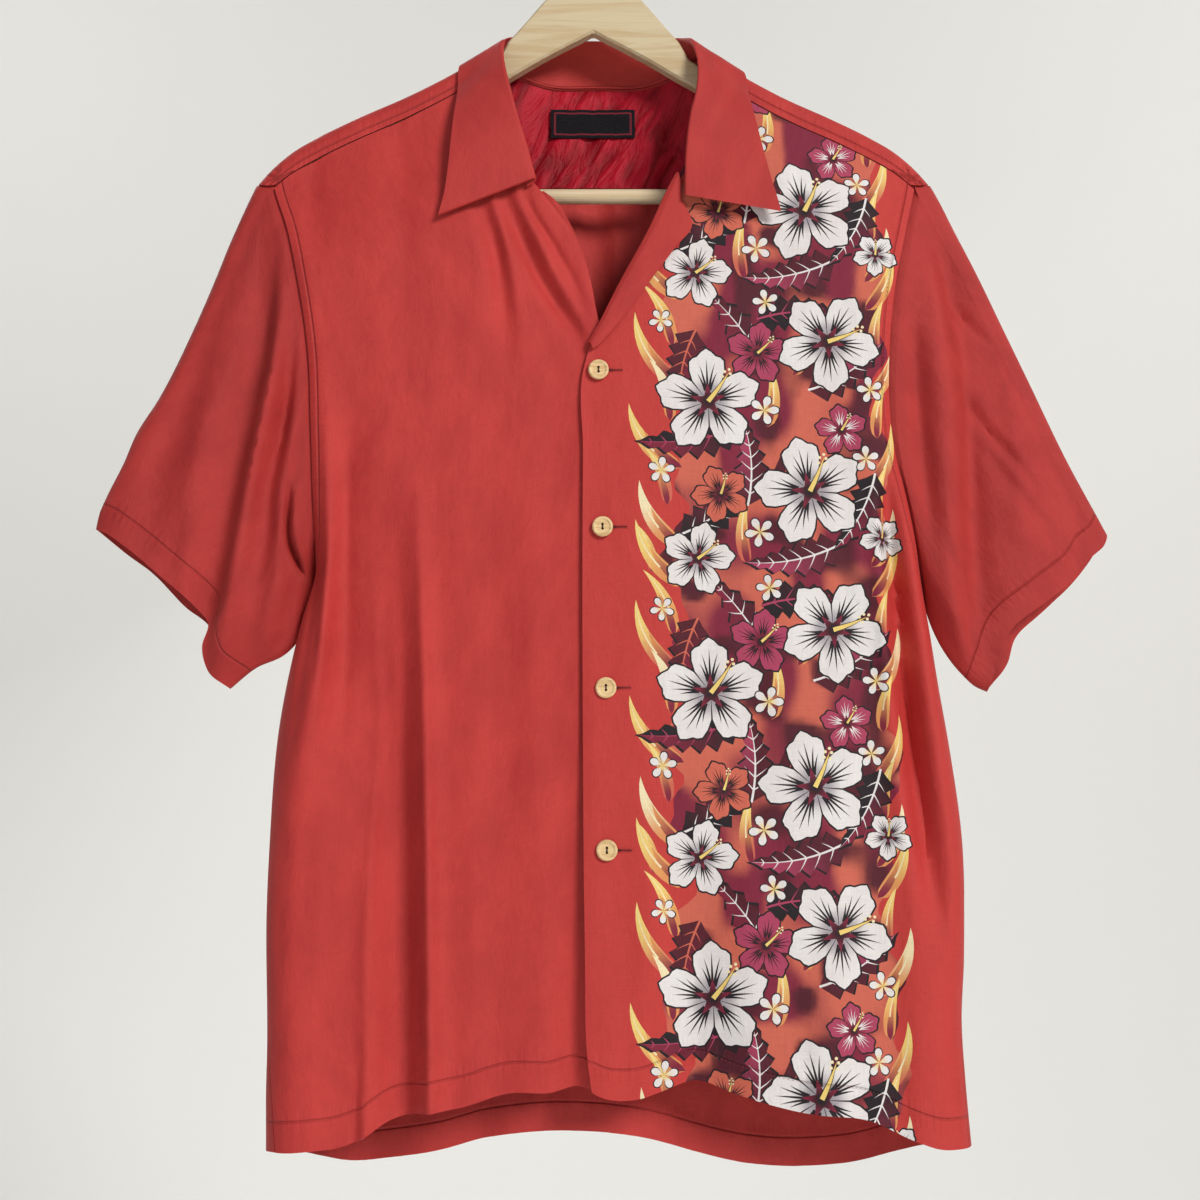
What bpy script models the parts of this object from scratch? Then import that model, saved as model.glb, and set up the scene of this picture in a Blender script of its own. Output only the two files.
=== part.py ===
"""A short-sleeved camp-collar shirt hanging on a flat wooden hanger.

Every length below is in millimetres, and the meshes are made in metres. X runs to the viewer's right,
Z up and Y away from the viewer. The origin is the top of the inside of the hanger's hook, where a rail
bears. "Left" and "right" in the pieces' names are the wearer's, so left_front is at +X.
Each piece of cloth is a thin wall: a grid of points on its outer face, and the same grid moved inwards.
"""

import math

import bpy
import numpy as np

MM = 0.001

# ---------------------------------------------------------------- driving dimensions
CLOTH = 1.2  # wall of a single layer
HEM_WALL = 2.2  # wall of a turned-up hem
HEM_HEIGHT = 19.0
COLLAR_WALL = 1.6
LINING_WALL = 1.0
LINING_GAP = 1.2
SEAM_GAP = 0.35  # each piece stops this far short of a seam
SIDE_GAP = 0.7  # the same at the side seams
SHOULDER_RADIUS = 10.5  # outside of the yoke where it goes over the hanger
FRONT_DEPTH = 28.0  # from the hanger's plane to the front panels
BACK_DEPTH = 24.0
NECK_CENTRE = 2.0
NECK_HALF = 78.0  # from the neck's centre to a shoulder-neck point
YOKE_HALF_WIDTH, YOKE_STRAIGHT = 237, 200  # its ends curve in beyond the second
FRONT_YOKE = 26.0  # from the shoulder ridge to the front yoke seam, along the cloth
SIDE_RADIUS = 24.0  # width of the turn from front to back at a side
BUTTON_RADIUS = 7.0
BUTTON_THICKNESS = 2.6
BUTTON_HOLE_RADIUS = 0.9
HANGER_THICKNESS = 10.5
BAR_RADIUS = 5.3
BAR_HEIGHT = -228.0
HOOK_RADIUS = 21.0  # centre line of the hook's bend
WIRE_RADIUS = 1.9
LAP_RISE = 2.6  # how far the lap stands proud of the front below it
LAP_DROP = 1.2  # how far the front below it is pressed in
SHANK_DEPTH = 12.0  # how far the hook goes into the wood

# ---------------------------------------------------------------- tables of the shirt's outline
# The ridge of a shoulder: distance from the centre line, height
RIDGE = (
    (78, -122), (95, -133), (130, -153), (170, -172), (195, -185), (214, -197), (227, -209), (237, -221),
)

# The back yoke seam: distance from the centre line, height
BACK_YOKE_SEAM = ((0, -217), (120, -219), (190, -226), (228, -238))

# Where a front panel ends at the armhole and side seam.
# height, distance from the centre line, turn in degrees (90 faces forwards, 0 is the side)
RIGHT_FRONT_SIDE = (
    (-120, 232, 90), (-232, 222, 88), (-254, 214, 80), (-294, 204, 66), (-349, 195, 60), (-402, 192, 56),
    (-450, 190, 44), (-482, 189, 22), (-500, 190, 0), (-530, 198, 0), (-557, 204, 0), (-598, 211, 0),
    (-680, 216, 0), (-757, 216, 4), (-796, 213, 20), (-835, 208, 42), (-880, 203, 55),
)
LEFT_FRONT_SIDE = (
    (-120, 233, 90), (-232, 224, 88), (-256, 218, 80), (-300, 208, 66), (-345, 203, 58), (-380, 202, 54),
    (-415, 205, 48), (-450, 213, 40), (-478, 219, 28), (-500, 223, 12), (-520, 226, 0), (-578, 234, 0),
    (-618, 240, 0), (-690, 247, 0), (-757, 244, 20), (-796, 240, 28), (-835, 241, 30), (-880, 243, 34),
)
# The same for the back; below the underarm it ends where the front does.
BACK_ARMHOLE = (
    (-120, 236, 90), (-238, 228, 88), (-270, 215, 76), (-320, 206, 64), (-380, 201, 54), (-440, 198, 42),
    (-480, 193, 24), (-500, 190, 0),
)
SIDE_HEM = {1: -874.5, -1: -876.5}  # height of the hem at each side seam, by the sign of x
LEFT_UNDERARM = -520.0
RIGHT_UNDERARM = -500.0

# The inner edge of each front: neckline, then the neck's edge, then the edge of the lap.
# height, x
RIGHT_FRONT_EDGE = (
    (-140, -82), (-147, -81), (-165, -77), (-190, -68), (-213, -54), (-231, -39), (-252, -23), (-264, -14),
    (-277, -8), (-298, -2), (-328, 4), (-350, 11), (-380, 19), (-420, 22), (-880, 24),
)
LEFT_FRONT_EDGE = (
    (-140, 87), (-147, 86), (-170, 83), (-192, 77), (-212, 65.5), (-227, 57), (-264, 39.8), (-305, 18.6),
    (-329, 7), (-345, -1.5), (-360, -6), (-420, -6.7), (-620, -6.5), (-750, -5), (-820, -3), (-842, 0),
)

# The hems. x, height
FRONT_HEM = (
    (-225, -874), (-183, -875), (-165, -874), (-148, -868), (-132, -858), (-115, -853), (-85, -848),
    (-52, -839), (-28, -839), (-5, -836), (5, -841), (27, -843), (45, -838), (67, -832), (90, -839),
    (132, -850), (180, -857), (204, -868), (224, -874), (250, -872),
)
BACK_HEM = (
    (-222, -878), (-195, -885), (-166, -892), (-129, -888), (-102, -883), (-70, -874), (-22, -869),
    (31, -874), (71, -885), (98, -892), (131, -896), (172, -892), (205, -883), (252, -874),
)

# Folds that run down the cloth. For each: rows of height, x, half width, depth (into the shirt is positive)
RIGHT_FRONT_FOLDS = {
    "long trough": ((-430, -146, 16, 0), (-520, -137, 14, 5), (-565, -135, 14, 6.5), (-600, -134, 14, 10),
                    (-652, -132, 14, 12.5), (-717, -129, 14, 14), (-780, -127, 14, 14),
                    (-860, -126, 14, 13.5)),
    "long crest": ((-440, -120, 8, 0), (-520, -114, 8, -3), (-600, -110, 8, -4.5), (-652, -108, 8, -5),
                   (-717, -106, 8, -5.5), (-780, -104, 8, -5.5), (-860, -103, 8, -5.5)),
    "side trough": ((-500, -157, 12, 0), (-587, -151, 13, 4), (-685, -156, 13, 5), (-860, -158, 13, 5)),
    "armhole trough": ((-360, -168, 14, 0), (-420, -168, 15, 4), (-560, -166, 16, 5), (-660, -170, 16, 0)),
    "side ridge": ((-380, -182, 9, 0), (-430, -180, 9, -4), (-545, -179, 10, -5), (-620, -190, 12, -3),
                   (-700, -195, 14, 0)),
    "neck trough": ((-240, -60, 7, 4), (-269, -48, 7, 7), (-300, -33, 7, 7), (-326, -17, 7, 5),
                    (-350, -4, 8, 0)),
    "collar trough": ((-244, -77, 7, 4), (-273, -68, 7, 6), (-331, -60, 8, 3), (-368, -58, 10, 0)),
    "lap trough": ((-600, -14, 12, 0), (-700, -14, 12, 3), (-800, -13, 12, 6), (-860, -12, 12, 6)),
}
LEFT_FRONT_FOLDS = {
    "side trough": ((-400, 199, 8, 0), (-436, 201, 8, 6), (-491, 205, 9, 13), (-545, 208, 9, 15),
                    (-611, 213, 9, 14), (-665, 218, 10, 9), (-717, 225, 10, 4), (-749, 229, 10, 0)),
    "print trough": ((-520, 184, 16, 0), (-600, 186, 18, 4), (-760, 190, 20, 5), (-860, 192, 20, 4)),
    "hem trough": ((-640, 62, 22, 0), (-760, 64, 24, 5), (-860, 66, 26, 11)),
    "hem ridge": ((-680, 150, 30, 0), (-780, 150, 32, -4), (-870, 150, 34, -7)),
}
BACK_FOLDS = {
    "left hem ridge": ((-420, 128, 40, 0), (-650, 130, 42, -7), (-890, 132, 44, -15)),
    "right hem ridge": ((-420, -150, 36, 0), (-650, -158, 36, -7), (-890, -162, 36, -14)),
    "centre trough": ((-420, -22, 44, 0), (-650, -22, 46, 6), (-890, -22, 48, 10)),
    "box pleat": ((-216, 2, 13, -3.5), (-300, 2, 13, -3), (-430, 2, 16, 0)),
    "right shoulder trough": ((-235, -150, 26, 0), (-330, -138, 28, 4), (-460, -120, 30, 5),
                              (-600, -108, 30, 0)),
    "left shoulder trough": ((-235, 158, 26, 0), (-330, 148, 28, 4), (-460, 132, 30, 5),
                             (-600, 116, 30, 0)),
}

# Sleeves: the top fold from the shoulder to the hem, the bottom fold from the underarm to the hem, and the
# hem's front and back layers from top to bottom. distance from the centre line, height
RIGHT_SLEEVE = {
    "top": ((238, -221), (244, -234), (255, -259), (266, -289), (280, -325), (303, -376), (317, -400),
            (325, -421), (335, -443), (340, -456), (342, -467)),
    "bottom": ((191, -501), (195, -514), (199.3, -530), (202.5, -545), (212, -555), (229, -563),
               (246, -577)),
    "front hem": ((342, -467), (335, -470), (317, -482), (294, -501), (268, -524), (261, -533),
                  (265, -549), (260, -566), (246, -577)),
    "back hem": ((342, -467), (324, -482), (306, -495), (279, -521), (263, -535), (262, -551),
                 (252, -568), (246, -577)),
}
LEFT_SLEEVE = {
    "top": ((237, -223), (245, -238), (253, -254), (269, -287), (284, -321), (303, -364), (328, -421),
            (346, -457), (353, -471)),
    "bottom": ((226, -521), (230, -534), (238, -551), (250, -567), (260, -576), (267, -579)),
    "front hem": ((353, -471), (349, -479), (337, -490), (331, -499), (309, -517), (280, -541), (273, -561),
                  (267, -579)),
    "back hem": ((353, -471), (347, -482), (334, -500), (311, -522), (288, -543), (282, -560), (267, -579)),
}
SLEEVE_HALF_DEPTH = 15.0  # of the hem's opening
RIGHT_SLEEVE_FOLDS = {
    "outer trough": ((-235, 219, 9, 0), (-261, 221, 10, 4), (-295, 226, 12, 7), (-336, 230, 13, 8.5),
                     (-380, 237, 14, 9), (-421, 244, 14, 9), (-460, 251, 15, 8.5), (-500, 259, 16, 9),
                     (-540, 267, 17, 8)),
    "front ridge": ((-245, 212, 8, 0), (-267, 211, 8, -4), (-300, 211, 8, -7), (-346, 215, 9, -9),
                    (-383, 222, 9, -9), (-417, 228, 10, -9), (-473, 238, 11, -9), (-509, 243, 12, -8),
                    (-540, 250, 13, -5), (-570, 256, 14, -4)),
}
LEFT_SLEEVE_FOLDS = {
    "outer trough": ((-235, 231, 14, 0), (-290, 252, 15, 5), (-360, 266, 17, 8), (-450, 263, 20, 8),
                     (-520, 262, 20, 7), (-560, 264, 18, 4)),
    "front ridge": ((-245, 223, 11, 0), (-300, 232, 12, -4), (-400, 241, 13, -7), (-500, 243, 14, -8),
                    (-560, 250, 15, -6)),
}
SLEEVE_BACK_FOLDS = {
    "back trough": ((-260, 226, 16, 0), (-350, 246, 18, 6), (-450, 266, 20, 8), (-540, 280, 20, 7)),
}

# The collar, from the wearer's right front end round the back to the wearer's left front end.
# share of the way along the neck seam; fold x, y, z; outer edge x, y, z
COLLAR = (
    (0.000, -39, -33, -228, -106, -35, -254),
    (0.058, -46, -34, -202, -102, -34, -236),
    (0.112, -52, -34, -182, -99.5, -33, -213),
    (0.168, -58, -30, -158, -97.5, -29, -185),
    (0.218, -62.5, -22, -136, -95.5, -20, -160),
    (0.268, -63.5, -6, -114, -95, -4, -137),
    (0.315, -58, 10, -103, -88, 17, -138),
    (0.368, -44, 25, -96.5, -64, 34, -147),
    (0.430, -22, 33, -94.5, -30, 42, -152),
    (0.495, 2, 36, -93.5, 2, 44, -152),
    (0.553, 26, 33, -95, 34, 42, -152),
    (0.609, 48, 25, -97, 68, 34, -147),
    (0.665, 63, 10, -104, 93, 17, -138),
    (0.705, 68.5, -6, -114, 106, -4, -140),
    (0.755, 73, -21, -136, 109, -20, -160),
    (0.800, 72, -30, -158, 112.5, -29, -182),
    (0.860, 67, -34, -181, 118, -34, -210),
    (0.915, 64, -35.5, -203, 123, -36, -231),
    (1.000, 62.5, -36, -240, 128.5, -37.5, -253),
)
RIGHT_END = ((-47, -233), (-49.5, -222))  # the seam's first points, on top of the front: x, height
LEFT_END = ((73.5, -212), (74.5, -238))  # its last points, on top of the turned-back front

# The turned-back edge of the wearer's left front, from the collar down to the first button.
# height along the roll; outer edge x, height
LAPEL = (
    (-222, 60.6, -231), (-230, 61, -242), (-246, 68, -260.5), (-263, 56, -277), (-283, 43, -295),
    (-303, 28, -316), (-322, 16, -332), (-336, 6, -344), (-344, 0, -349),
)

BUTTONS = ((3.7, -363), (6.4, -471), (8.6, -579), (9.2, -685))  # x, height

# The outline of the wooden arms: distance from the centre line, top, bottom
HANGER_OUTLINE = (
    (0, -55, -106.5), (9, -56, -111.7), (20, -66, -117.5), (37, -85, -127), (50, -101, -135),
    (61, -114, -142), (68, -127, -146), (76, -132.5, -151), (95, -141.5, -162), (130, -159.5, -183),
    (170, -178.5, -206), (195, -191.5, -220.5), (208, -200, -226), (216, -209, -227),
)

# ---------------------------------------------------------------- small tools


def smoothstep(u):
    u = np.clip(u, 0.0, 1.0)
    return u * u * (3 - 2 * u)


def through(rows, column, at, key=0):
    """The column's value at each place of the key column, on a smooth curve through the rows."""
    rows = sorted(rows, key=lambda row: row[key])
    knots = np.array([row[key] for row in rows], float)
    values = np.array([row[column] for row in rows], float)
    slopes = np.gradient(values, knots)
    at = np.clip(at, knots[0], knots[-1])
    i = np.clip(np.searchsorted(knots, at) - 1, 0, len(knots) - 2)
    span = knots[i + 1] - knots[i]
    u = (at - knots[i]) / span
    return (
        (2 * u**3 - 3 * u**2 + 1) * values[i]
        + (u**3 - 2 * u**2 + u) * span * slopes[i]
        + (3 * u**2 - 2 * u**3) * values[i + 1]
        + (u**3 - u**2) * span * slopes[i + 1]
    )


def along(rows, at):
    """Points at the shares 0 to 1 of the way along a smooth line through the rows."""
    rows = np.array(rows, float)
    way = np.concatenate([[0], np.cumsum(np.linalg.norm(np.diff(rows, axis=0), axis=1))])
    table = [(w / way[-1], *row) for w, row in zip(way, rows)]
    return np.stack([through(table, k + 1, at) for k in range(rows.shape[1])], axis=-1)


def fold_depth(folds, x, z):
    """How far the folds push the cloth into the shirt at each x and z."""
    depth = np.zeros(np.broadcast(x, z).shape)
    for rows in folds.values():
        heights = [row[0] for row in rows]
        centre, width, deep = (through(rows, k, z) for k in (1, 2, 3))
        inside = (z <= max(heights)) | (rows[0][3] != 0)
        depth += np.where(inside, deep, 0) * np.exp(-(((x - centre) / width) ** 2))
    return depth


# ---------------------------------------------------------------- where the cloth lies


def ridge_height(x):
    """Height of the shoulder ridge, carried on as a steep cone inside the neck."""
    out = np.abs(x - NECK_CENTRE * (1 - smoothstep((np.abs(x) - 80) / 80)))
    return through(RIDGE, 1, out) + 1.5 * np.maximum(NECK_HALF - out, 0)


def front_y(x, z):
    """The front panels' flat depth, before folds and side turns."""
    below = ridge_height(x) - z
    return -(SHOULDER_RADIUS + (FRONT_DEPTH - SHOULDER_RADIUS) * smoothstep(below / 120))


def back_y(x, z):
    below = ridge_height(x) - z
    near_neck = smoothstep(1 - np.abs(x - NECK_CENTRE) / 70) * smoothstep(1 + (z + 137) / 90)
    return SHOULDER_RADIUS + (BACK_DEPTH - SHOULDER_RADIUS) * smoothstep(below / 95) + 5 * near_neck


def yoke_point(x, a):
    """A point of the yoke: a is the distance over the ridge, negative to the front."""
    turn = np.clip(np.abs(a) / SHOULDER_RADIUS, 0, math.pi / 2)
    flat = np.abs(a) - turn * SHOULDER_RADIUS
    out = np.abs(x - NECK_CENTRE * (1 - smoothstep((np.abs(x) - 80) / 80)))
    top = through(RIDGE, 1, out) + 0.05 * np.maximum(NECK_HALF - out, 0)
    z = top - SHOULDER_RADIUS * (1 - np.cos(turn)) - flat
    deep = np.where(a < 0, -front_y(x, z), back_y(x, z))
    y = SHOULDER_RADIUS * np.sin(turn) + (deep - SHOULDER_RADIUS) * smoothstep((np.abs(a) - 4) / 16)
    return np.stack([x, np.sign(a) * y, z], axis=-1)


def yoke_normal(x, a):
    """The outward normal of the yoke."""
    lean = np.clip(np.abs(a) / SHOULDER_RADIUS, 0, math.pi / 2)
    slope = (through(RIDGE, 1, np.abs(x) + 1) - through(RIDGE, 1, np.abs(x) - 1)) / 2 * np.sign(x)
    up = np.cos(lean)
    normal = np.stack([-slope * up, np.sign(a) * np.sin(lean), up + 0 * x], axis=-1)
    return normal / np.linalg.norm(normal, axis=-1, keepdims=True)


def side_at(side, panel, z):
    """Distance from the centre line and turn, in radians, where a panel ends at the side at height z."""
    front = LEFT_FRONT_SIDE if side > 0 else RIGHT_FRONT_SIDE
    seam, turn = through(front, 1, z), through(front, 2, z)
    if panel == "back":
        underarm = LEFT_UNDERARM if side > 0 else RIGHT_UNDERARM
        drop = underarm - RIGHT_UNDERARM
        shift = through(front, 1, underarm) - BACK_ARMHOLE[-1][1]
        rows = []
        for height, out, bend in BACK_ARMHOLE:
            lower = drop * smoothstep((-height - 240) / 260)
            wider = shift * smoothstep((-height - 300) / 200) ** 1.5
            rows.append((height + lower, out + wider, bend))
        seam = np.where(z < underarm, seam, through(rows, 1, z))
        turn = np.where(z < underarm, -turn, through(rows, 2, z))
    return seam, np.radians(turn)


def section(side, panel, edge_x, q, z):
    """x, lean and fade at the share q of the way from a panel's inner edge to its side, at height z.

    The side's turn is a quarter of an ellipse, from the seam's own angle to where the panel is flat.
    """
    seam, turn = side_at(side, panel, z)
    extreme = seam + SIDE_RADIUS * (1 - np.cos(turn))
    arc = SIDE_RADIUS * (math.pi / 2 - turn)
    flat = extreme - SIDE_RADIUS - side * edge_x
    way = SIDE_GAP + (1 - q) * (arc + flat - SIDE_GAP)
    angle = turn + np.minimum(way, arc) / SIDE_RADIUS
    beyond = np.maximum(way - arc, 0)
    x = side * (extreme - SIDE_RADIUS * (1 - np.cos(angle)) - beyond)
    return x, np.sin(angle), smoothstep(way / 30)


def body_point(side, panel, edge_x, q, z, folds):
    x, lie, fade = section(side, panel, edge_x(z), q, z)
    if panel == "front":
        y = front_y(x, z) * lie + fold_depth(folds, x, z) * fade
    else:
        y = np.where(lie < 0, -front_y(x, z), back_y(x, z)) * lie - fold_depth(folds, x, z) * fade
    return np.stack([x, y, z], axis=-1)


def panel_normals(point, q, z, way):
    """Unit normals of a panel's surface. way is -1 for a front and 1 for the back."""
    across = point(q + 0.002, z) - point(q - 0.002, z)
    down = point(q, z + 0.5) - point(q, z - 0.5)
    normal = np.cross(across, down)
    normal *= np.sign(np.sum(normal[..., 1])) * way
    return normal / np.linalg.norm(normal, axis=-1, keepdims=True)


def lap_rise(side, x, z):
    """How far a front stands out (or in, if negative) near the lap, so that one lies over the other."""
    edge = through(LEFT_FRONT_EDGE if side > 0 else RIGHT_FRONT_EDGE, 1, z)
    near = smoothstep((78 - np.abs(x - edge)) / 40) * smoothstep((-z - 262) / 50)
    return near * (LAP_RISE if side > 0 else -LAP_DROP)


def lapped(side, points):
    return points - lap_rise(side, points[..., 0], points[..., 2])[..., None] * np.array([0, 1, 0])


def front_surface(side, x, z):
    """Depth of the outer face of a front away from its side, with its folds and the lap's rise."""
    folds = LEFT_FRONT_FOLDS if side > 0 else RIGHT_FRONT_FOLDS
    return front_y(x, z) + fold_depth(folds, x, z) - lap_rise(side, x, z)


def panel_heights(point, side, q, top, hem, above, below):
    """Heights of a panel's rows, for each column. One row runs at the underarm's height at the side."""
    ends = []
    for line, z in ((top, -180.0), (hem, -860.0)):
        z = np.full_like(q, z)
        for _ in range(40):
            z = 0.5 * z + 0.5 * line(point(q, z)[..., 0])
        ends.append(z)
    first, last = ends
    last = last + (SIDE_HEM[side] - last) * smoothstep((q - 0.86) / 0.14)
    underarm = LEFT_UNDERARM if side > 0 else RIGHT_UNDERARM
    middle = -510 + (underarm + 510) * smoothstep(q)
    up = np.linspace(0, 1, above)[:, None]
    up = up - 0.05 * np.sin(2 * math.pi * up)
    down = np.linspace(0, 1, below)[1:, None]
    return np.concatenate([first + (middle - first) * up, middle + (last - middle) * down])


# ---------------------------------------------------------------- meshes


def grid_normals(points, closed):
    """Unit normals of a grid of points, pointing away from the body when the grid is wound that way."""
    if closed:
        around = np.roll(points, -1, axis=1) - np.roll(points, 1, axis=1)
    else:
        around = np.gradient(points, axis=1)
    normal = np.cross(np.gradient(points, axis=0), around)
    return normal / np.linalg.norm(normal, axis=-1, keepdims=True)


def add_object(name, points, faces, material, smooth=True):
    mesh = bpy.data.meshes.new(name)
    mesh.from_pydata([tuple(p) for p in np.asarray(points) * MM], [], faces)
    mesh.materials.append(material)
    if smooth:
        mesh.shade_smooth()
        mesh.set_sharp_from_angle(angle=math.radians(50))
    obj = bpy.data.objects.new(name, mesh)
    bpy.context.scene.collection.objects.link(obj)
    return obj


def cut_hole(obj, radius, place, rotation, length, sides):
    """Bore a round hole in an object with a hidden cutter."""
    number = len(obj.modifiers)
    bpy.ops.mesh.primitive_cylinder_add(vertices=sides, radius=radius * MM, depth=length * MM,
                                        location=tuple(p * MM for p in place), rotation=rotation)
    cutter = bpy.context.object
    cutter.name = f"{obj.name}_cutter_{number}"
    cutter.hide_render = True
    cutter.display_type = "WIRE"
    cut = obj.modifiers.new("hole", "BOOLEAN")
    cut.operation = "DIFFERENCE"
    cut.object = cutter


def wall(name, outer, thickness, material, closed=False, normals=None):
    """A closed solid between a grid of points and the same grid moved inwards by the thickness."""
    rows, columns = outer.shape[:2]
    thickness = np.broadcast_to(thickness, (rows, columns))[..., None]
    if normals is None:
        normals = grid_normals(outer, closed)
    inner = outer - normals * thickness
    points = np.concatenate([outer.reshape(-1, 3), inner.reshape(-1, 3)])
    shift = rows * columns

    def at(i, j):
        return i * columns + j % columns

    faces = []
    spans = columns if closed else columns - 1
    for i in range(rows - 1):
        for j in range(spans):
            a, b, c, d = at(i, j), at(i + 1, j), at(i + 1, j + 1), at(i, j + 1)
            if np.linalg.norm(points[a] - points[c]) > np.linalg.norm(points[b] - points[d]):
                a, b, c, d = b, c, d, a
            faces += [(a, b, c), (a, c, d)]
            faces += [(c + shift, b + shift, a + shift), (d + shift, c + shift, a + shift)]
    for j in range(spans):
        for i, turned in ((0, False), (rows - 1, True)):
            a, b = at(i, j), at(i, j + 1)
            rim = (a, b, b + shift, a + shift)
            faces.append(rim[::-1] if turned else rim)
    if not closed:
        for i in range(rows - 1):
            for j, turned in ((0, True), (columns - 1, False)):
                a, b = at(i, j), at(i + 1, j)
                rim = (a, b, b + shift, a + shift)
                faces.append(rim[::-1] if turned else rim)
    return add_object(name, points, faces, material)


def material(name, colour, roughness, metallic=0.0):
    made = bpy.data.materials.new(name)
    made.use_nodes = True
    shader = made.node_tree.nodes["Principled BSDF"]
    shader.inputs["Base Color"].default_value = (*colour, 1)
    shader.inputs["Roughness"].default_value = roughness
    shader.inputs["Metallic"].default_value = metallic
    made.diffuse_color = (*colour, 1)
    return made


# ---------------------------------------------------------------- the pieces of the shirt


def hem_wall(z, hem):
    """The wall's thickness: that of a turned-up hem near the panel's lower edge."""
    return CLOTH + (HEM_WALL - CLOTH) * smoothstep((hem + HEM_HEIGHT + 3 - z) / 6)


def front_panel(name, side, edge_rows, folds, columns, above, below, cloth):
    """A front, from its inner edge to the armhole and side seam, and from the yoke seam to the hem."""

    def edge(z):
        return through(edge_rows, 1, z)

    def point(q, z):
        return lapped(side, body_point(side, "front", edge, q, z, folds))

    def seam(x):
        return yoke_point(x, np.full_like(x, -FRONT_YOKE))[..., 2] - 2 * SEAM_GAP

    def hem(x):
        return through(FRONT_HEM, 1, x)

    q = np.linspace(0, 1, columns) ** 0.9
    z = panel_heights(point, side, q, seam, hem, above, below)
    q = np.broadcast_to(q, z.shape)
    points, normals = point(q, z), panel_normals(point, q, z, -1)
    if side < 0:
        points, normals = points[:, ::-1], normals[:, ::-1]
    return wall(name, points, hem_wall(points[..., 2], points[-1:, :, 2]), cloth, normals=normals)


def back_panel(columns, above, below, cloth):
    """The back, from side seam to side seam, with a box pleat under the yoke."""

    def edge(z):
        return np.full_like(z, NECK_CENTRE)

    def seam(x):
        return through(BACK_YOKE_SEAM, 1, np.abs(x)) - 2 * SEAM_GAP

    def hem(x):
        return through(BACK_HEM, 1, x)

    def half(side):
        def point(q, z):
            return body_point(side, "back", edge, q, z, BACK_FOLDS)

        q = 1 - (1 - np.linspace(0, 1, columns // 2 + 1)) ** 1.15
        z = panel_heights(point, side, q, seam, hem, above, below)
        q = np.broadcast_to(q, z.shape)
        return point(q, z), panel_normals(point, q, z, 1)

    left, left_normals = half(1)
    right, right_normals = half(-1)
    points = np.concatenate([left[:, :0:-1], right], axis=1)
    normals = np.concatenate([left_normals[:, :0:-1], right_normals], axis=1)
    return wall("back", points, hem_wall(points[..., 2], points[-1:, :, 2]), cloth, normals=normals)


def yoke_end(a):
    """Distance from the centre line of the yoke's end, at the distance a over the ridge."""
    return 237 - 15 * np.clip(-a / FRONT_YOKE, 0, 1) ** 2 - 9 * np.clip(a / 25, 0, 1) ** 2


def neck_start(x):
    """The distance over the ridge at which the yoke begins, at the neck or at the front yoke seam."""
    neck = ((0, 22), (40, 20), (60, 14), (70, 7), (76, 0), (81, -12), (85, -FRONT_YOKE), (240, -FRONT_YOKE))
    return np.maximum(through(neck, 1, np.abs(x - NECK_CENTRE)), -FRONT_YOKE)


def yoke_width(x, a):
    """How far across a yoke point lies, a over the ridge: its ends are drawn in to the armholes."""
    pulled = YOKE_STRAIGHT + (np.abs(x) - YOKE_STRAIGHT) * (yoke_end(a) - SEAM_GAP - YOKE_STRAIGHT) / (
        YOKE_HALF_WIDTH - YOKE_STRAIGHT)
    return np.where(np.abs(x) > YOKE_STRAIGHT, np.sign(x) * pulled, x)


def yoke_limits(x):
    """The distances over the ridge between which the yoke lies at x."""
    low = yoke_width(x, 25.0 + 0 * x)
    seam = through(BACK_YOKE_SEAM, 1, np.abs(low))
    ridge = yoke_point(low, np.zeros_like(low))[..., 2]
    return neck_start(x), ridge - seam - SHOULDER_RADIUS + SHOULDER_RADIUS * math.pi / 2


def yoke(cloth):
    """One piece over both shoulders and across the back of the neck."""
    half = (0, 16, 32, 46, 58, 67, 73, 77, 80, 83, 86, 93, 108, 126, 148, 170, 190, 207, 220, 230, 237)
    half = np.array(half, float)
    x = np.concatenate([-half[:0:-1], half])
    start, end = yoke_limits(x)
    over = np.array([-FRONT_YOKE, -15, -9, -3, 3, 9, 15])[:, None] + 0 * end
    down = 15 + (end - 15) * np.array([0.2, 0.52, 1.0])[:, None]
    share = (np.concatenate([over, down]) + FRONT_YOKE) / (end + FRONT_YOKE)
    a = start + SEAM_GAP + (end - start - 2 * SEAM_GAP) * share
    wide = yoke_width(x, a)
    return wall("yoke", yoke_point(wide, a)[:, ::-1], CLOTH, cloth, normals=yoke_normal(wide, a)[:, ::-1])


def yoke_lining(columns, rows, cloth):
    """The inner layer of the yoke, which shows inside the back of the neck."""
    x = np.linspace(-196, 198, columns)
    start, end = yoke_limits(x)
    start = np.maximum(start + 3, 17)
    v = np.linspace(0, 1, rows)[:, None]
    a = start + (end - 4 - start) * v
    wide = np.broadcast_to(x, (rows, columns))
    normals = yoke_normal(wide, a)
    outer = yoke_point(wide, a) - normals * (CLOTH + LINING_GAP)
    return wall("yoke_lining", outer[:, ::-1], LINING_WALL, cloth, normals=normals[:, ::-1])


def label(columns, cloth):
    """A plain woven label on the yoke's lining, below the neck seam."""
    x = np.linspace(-31, 30, columns)
    z = np.linspace(-153, -175, 3)[:, None]
    grid_x, grid_z = np.broadcast_arrays(x, z)
    y = back_y(grid_x, grid_z) - CLOTH - LINING_GAP - LINING_WALL - 0.7
    points = np.stack([grid_x, y, grid_z], axis=-1)[:, ::-1]
    return wall("neck_label", points, 1.0, cloth)


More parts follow.
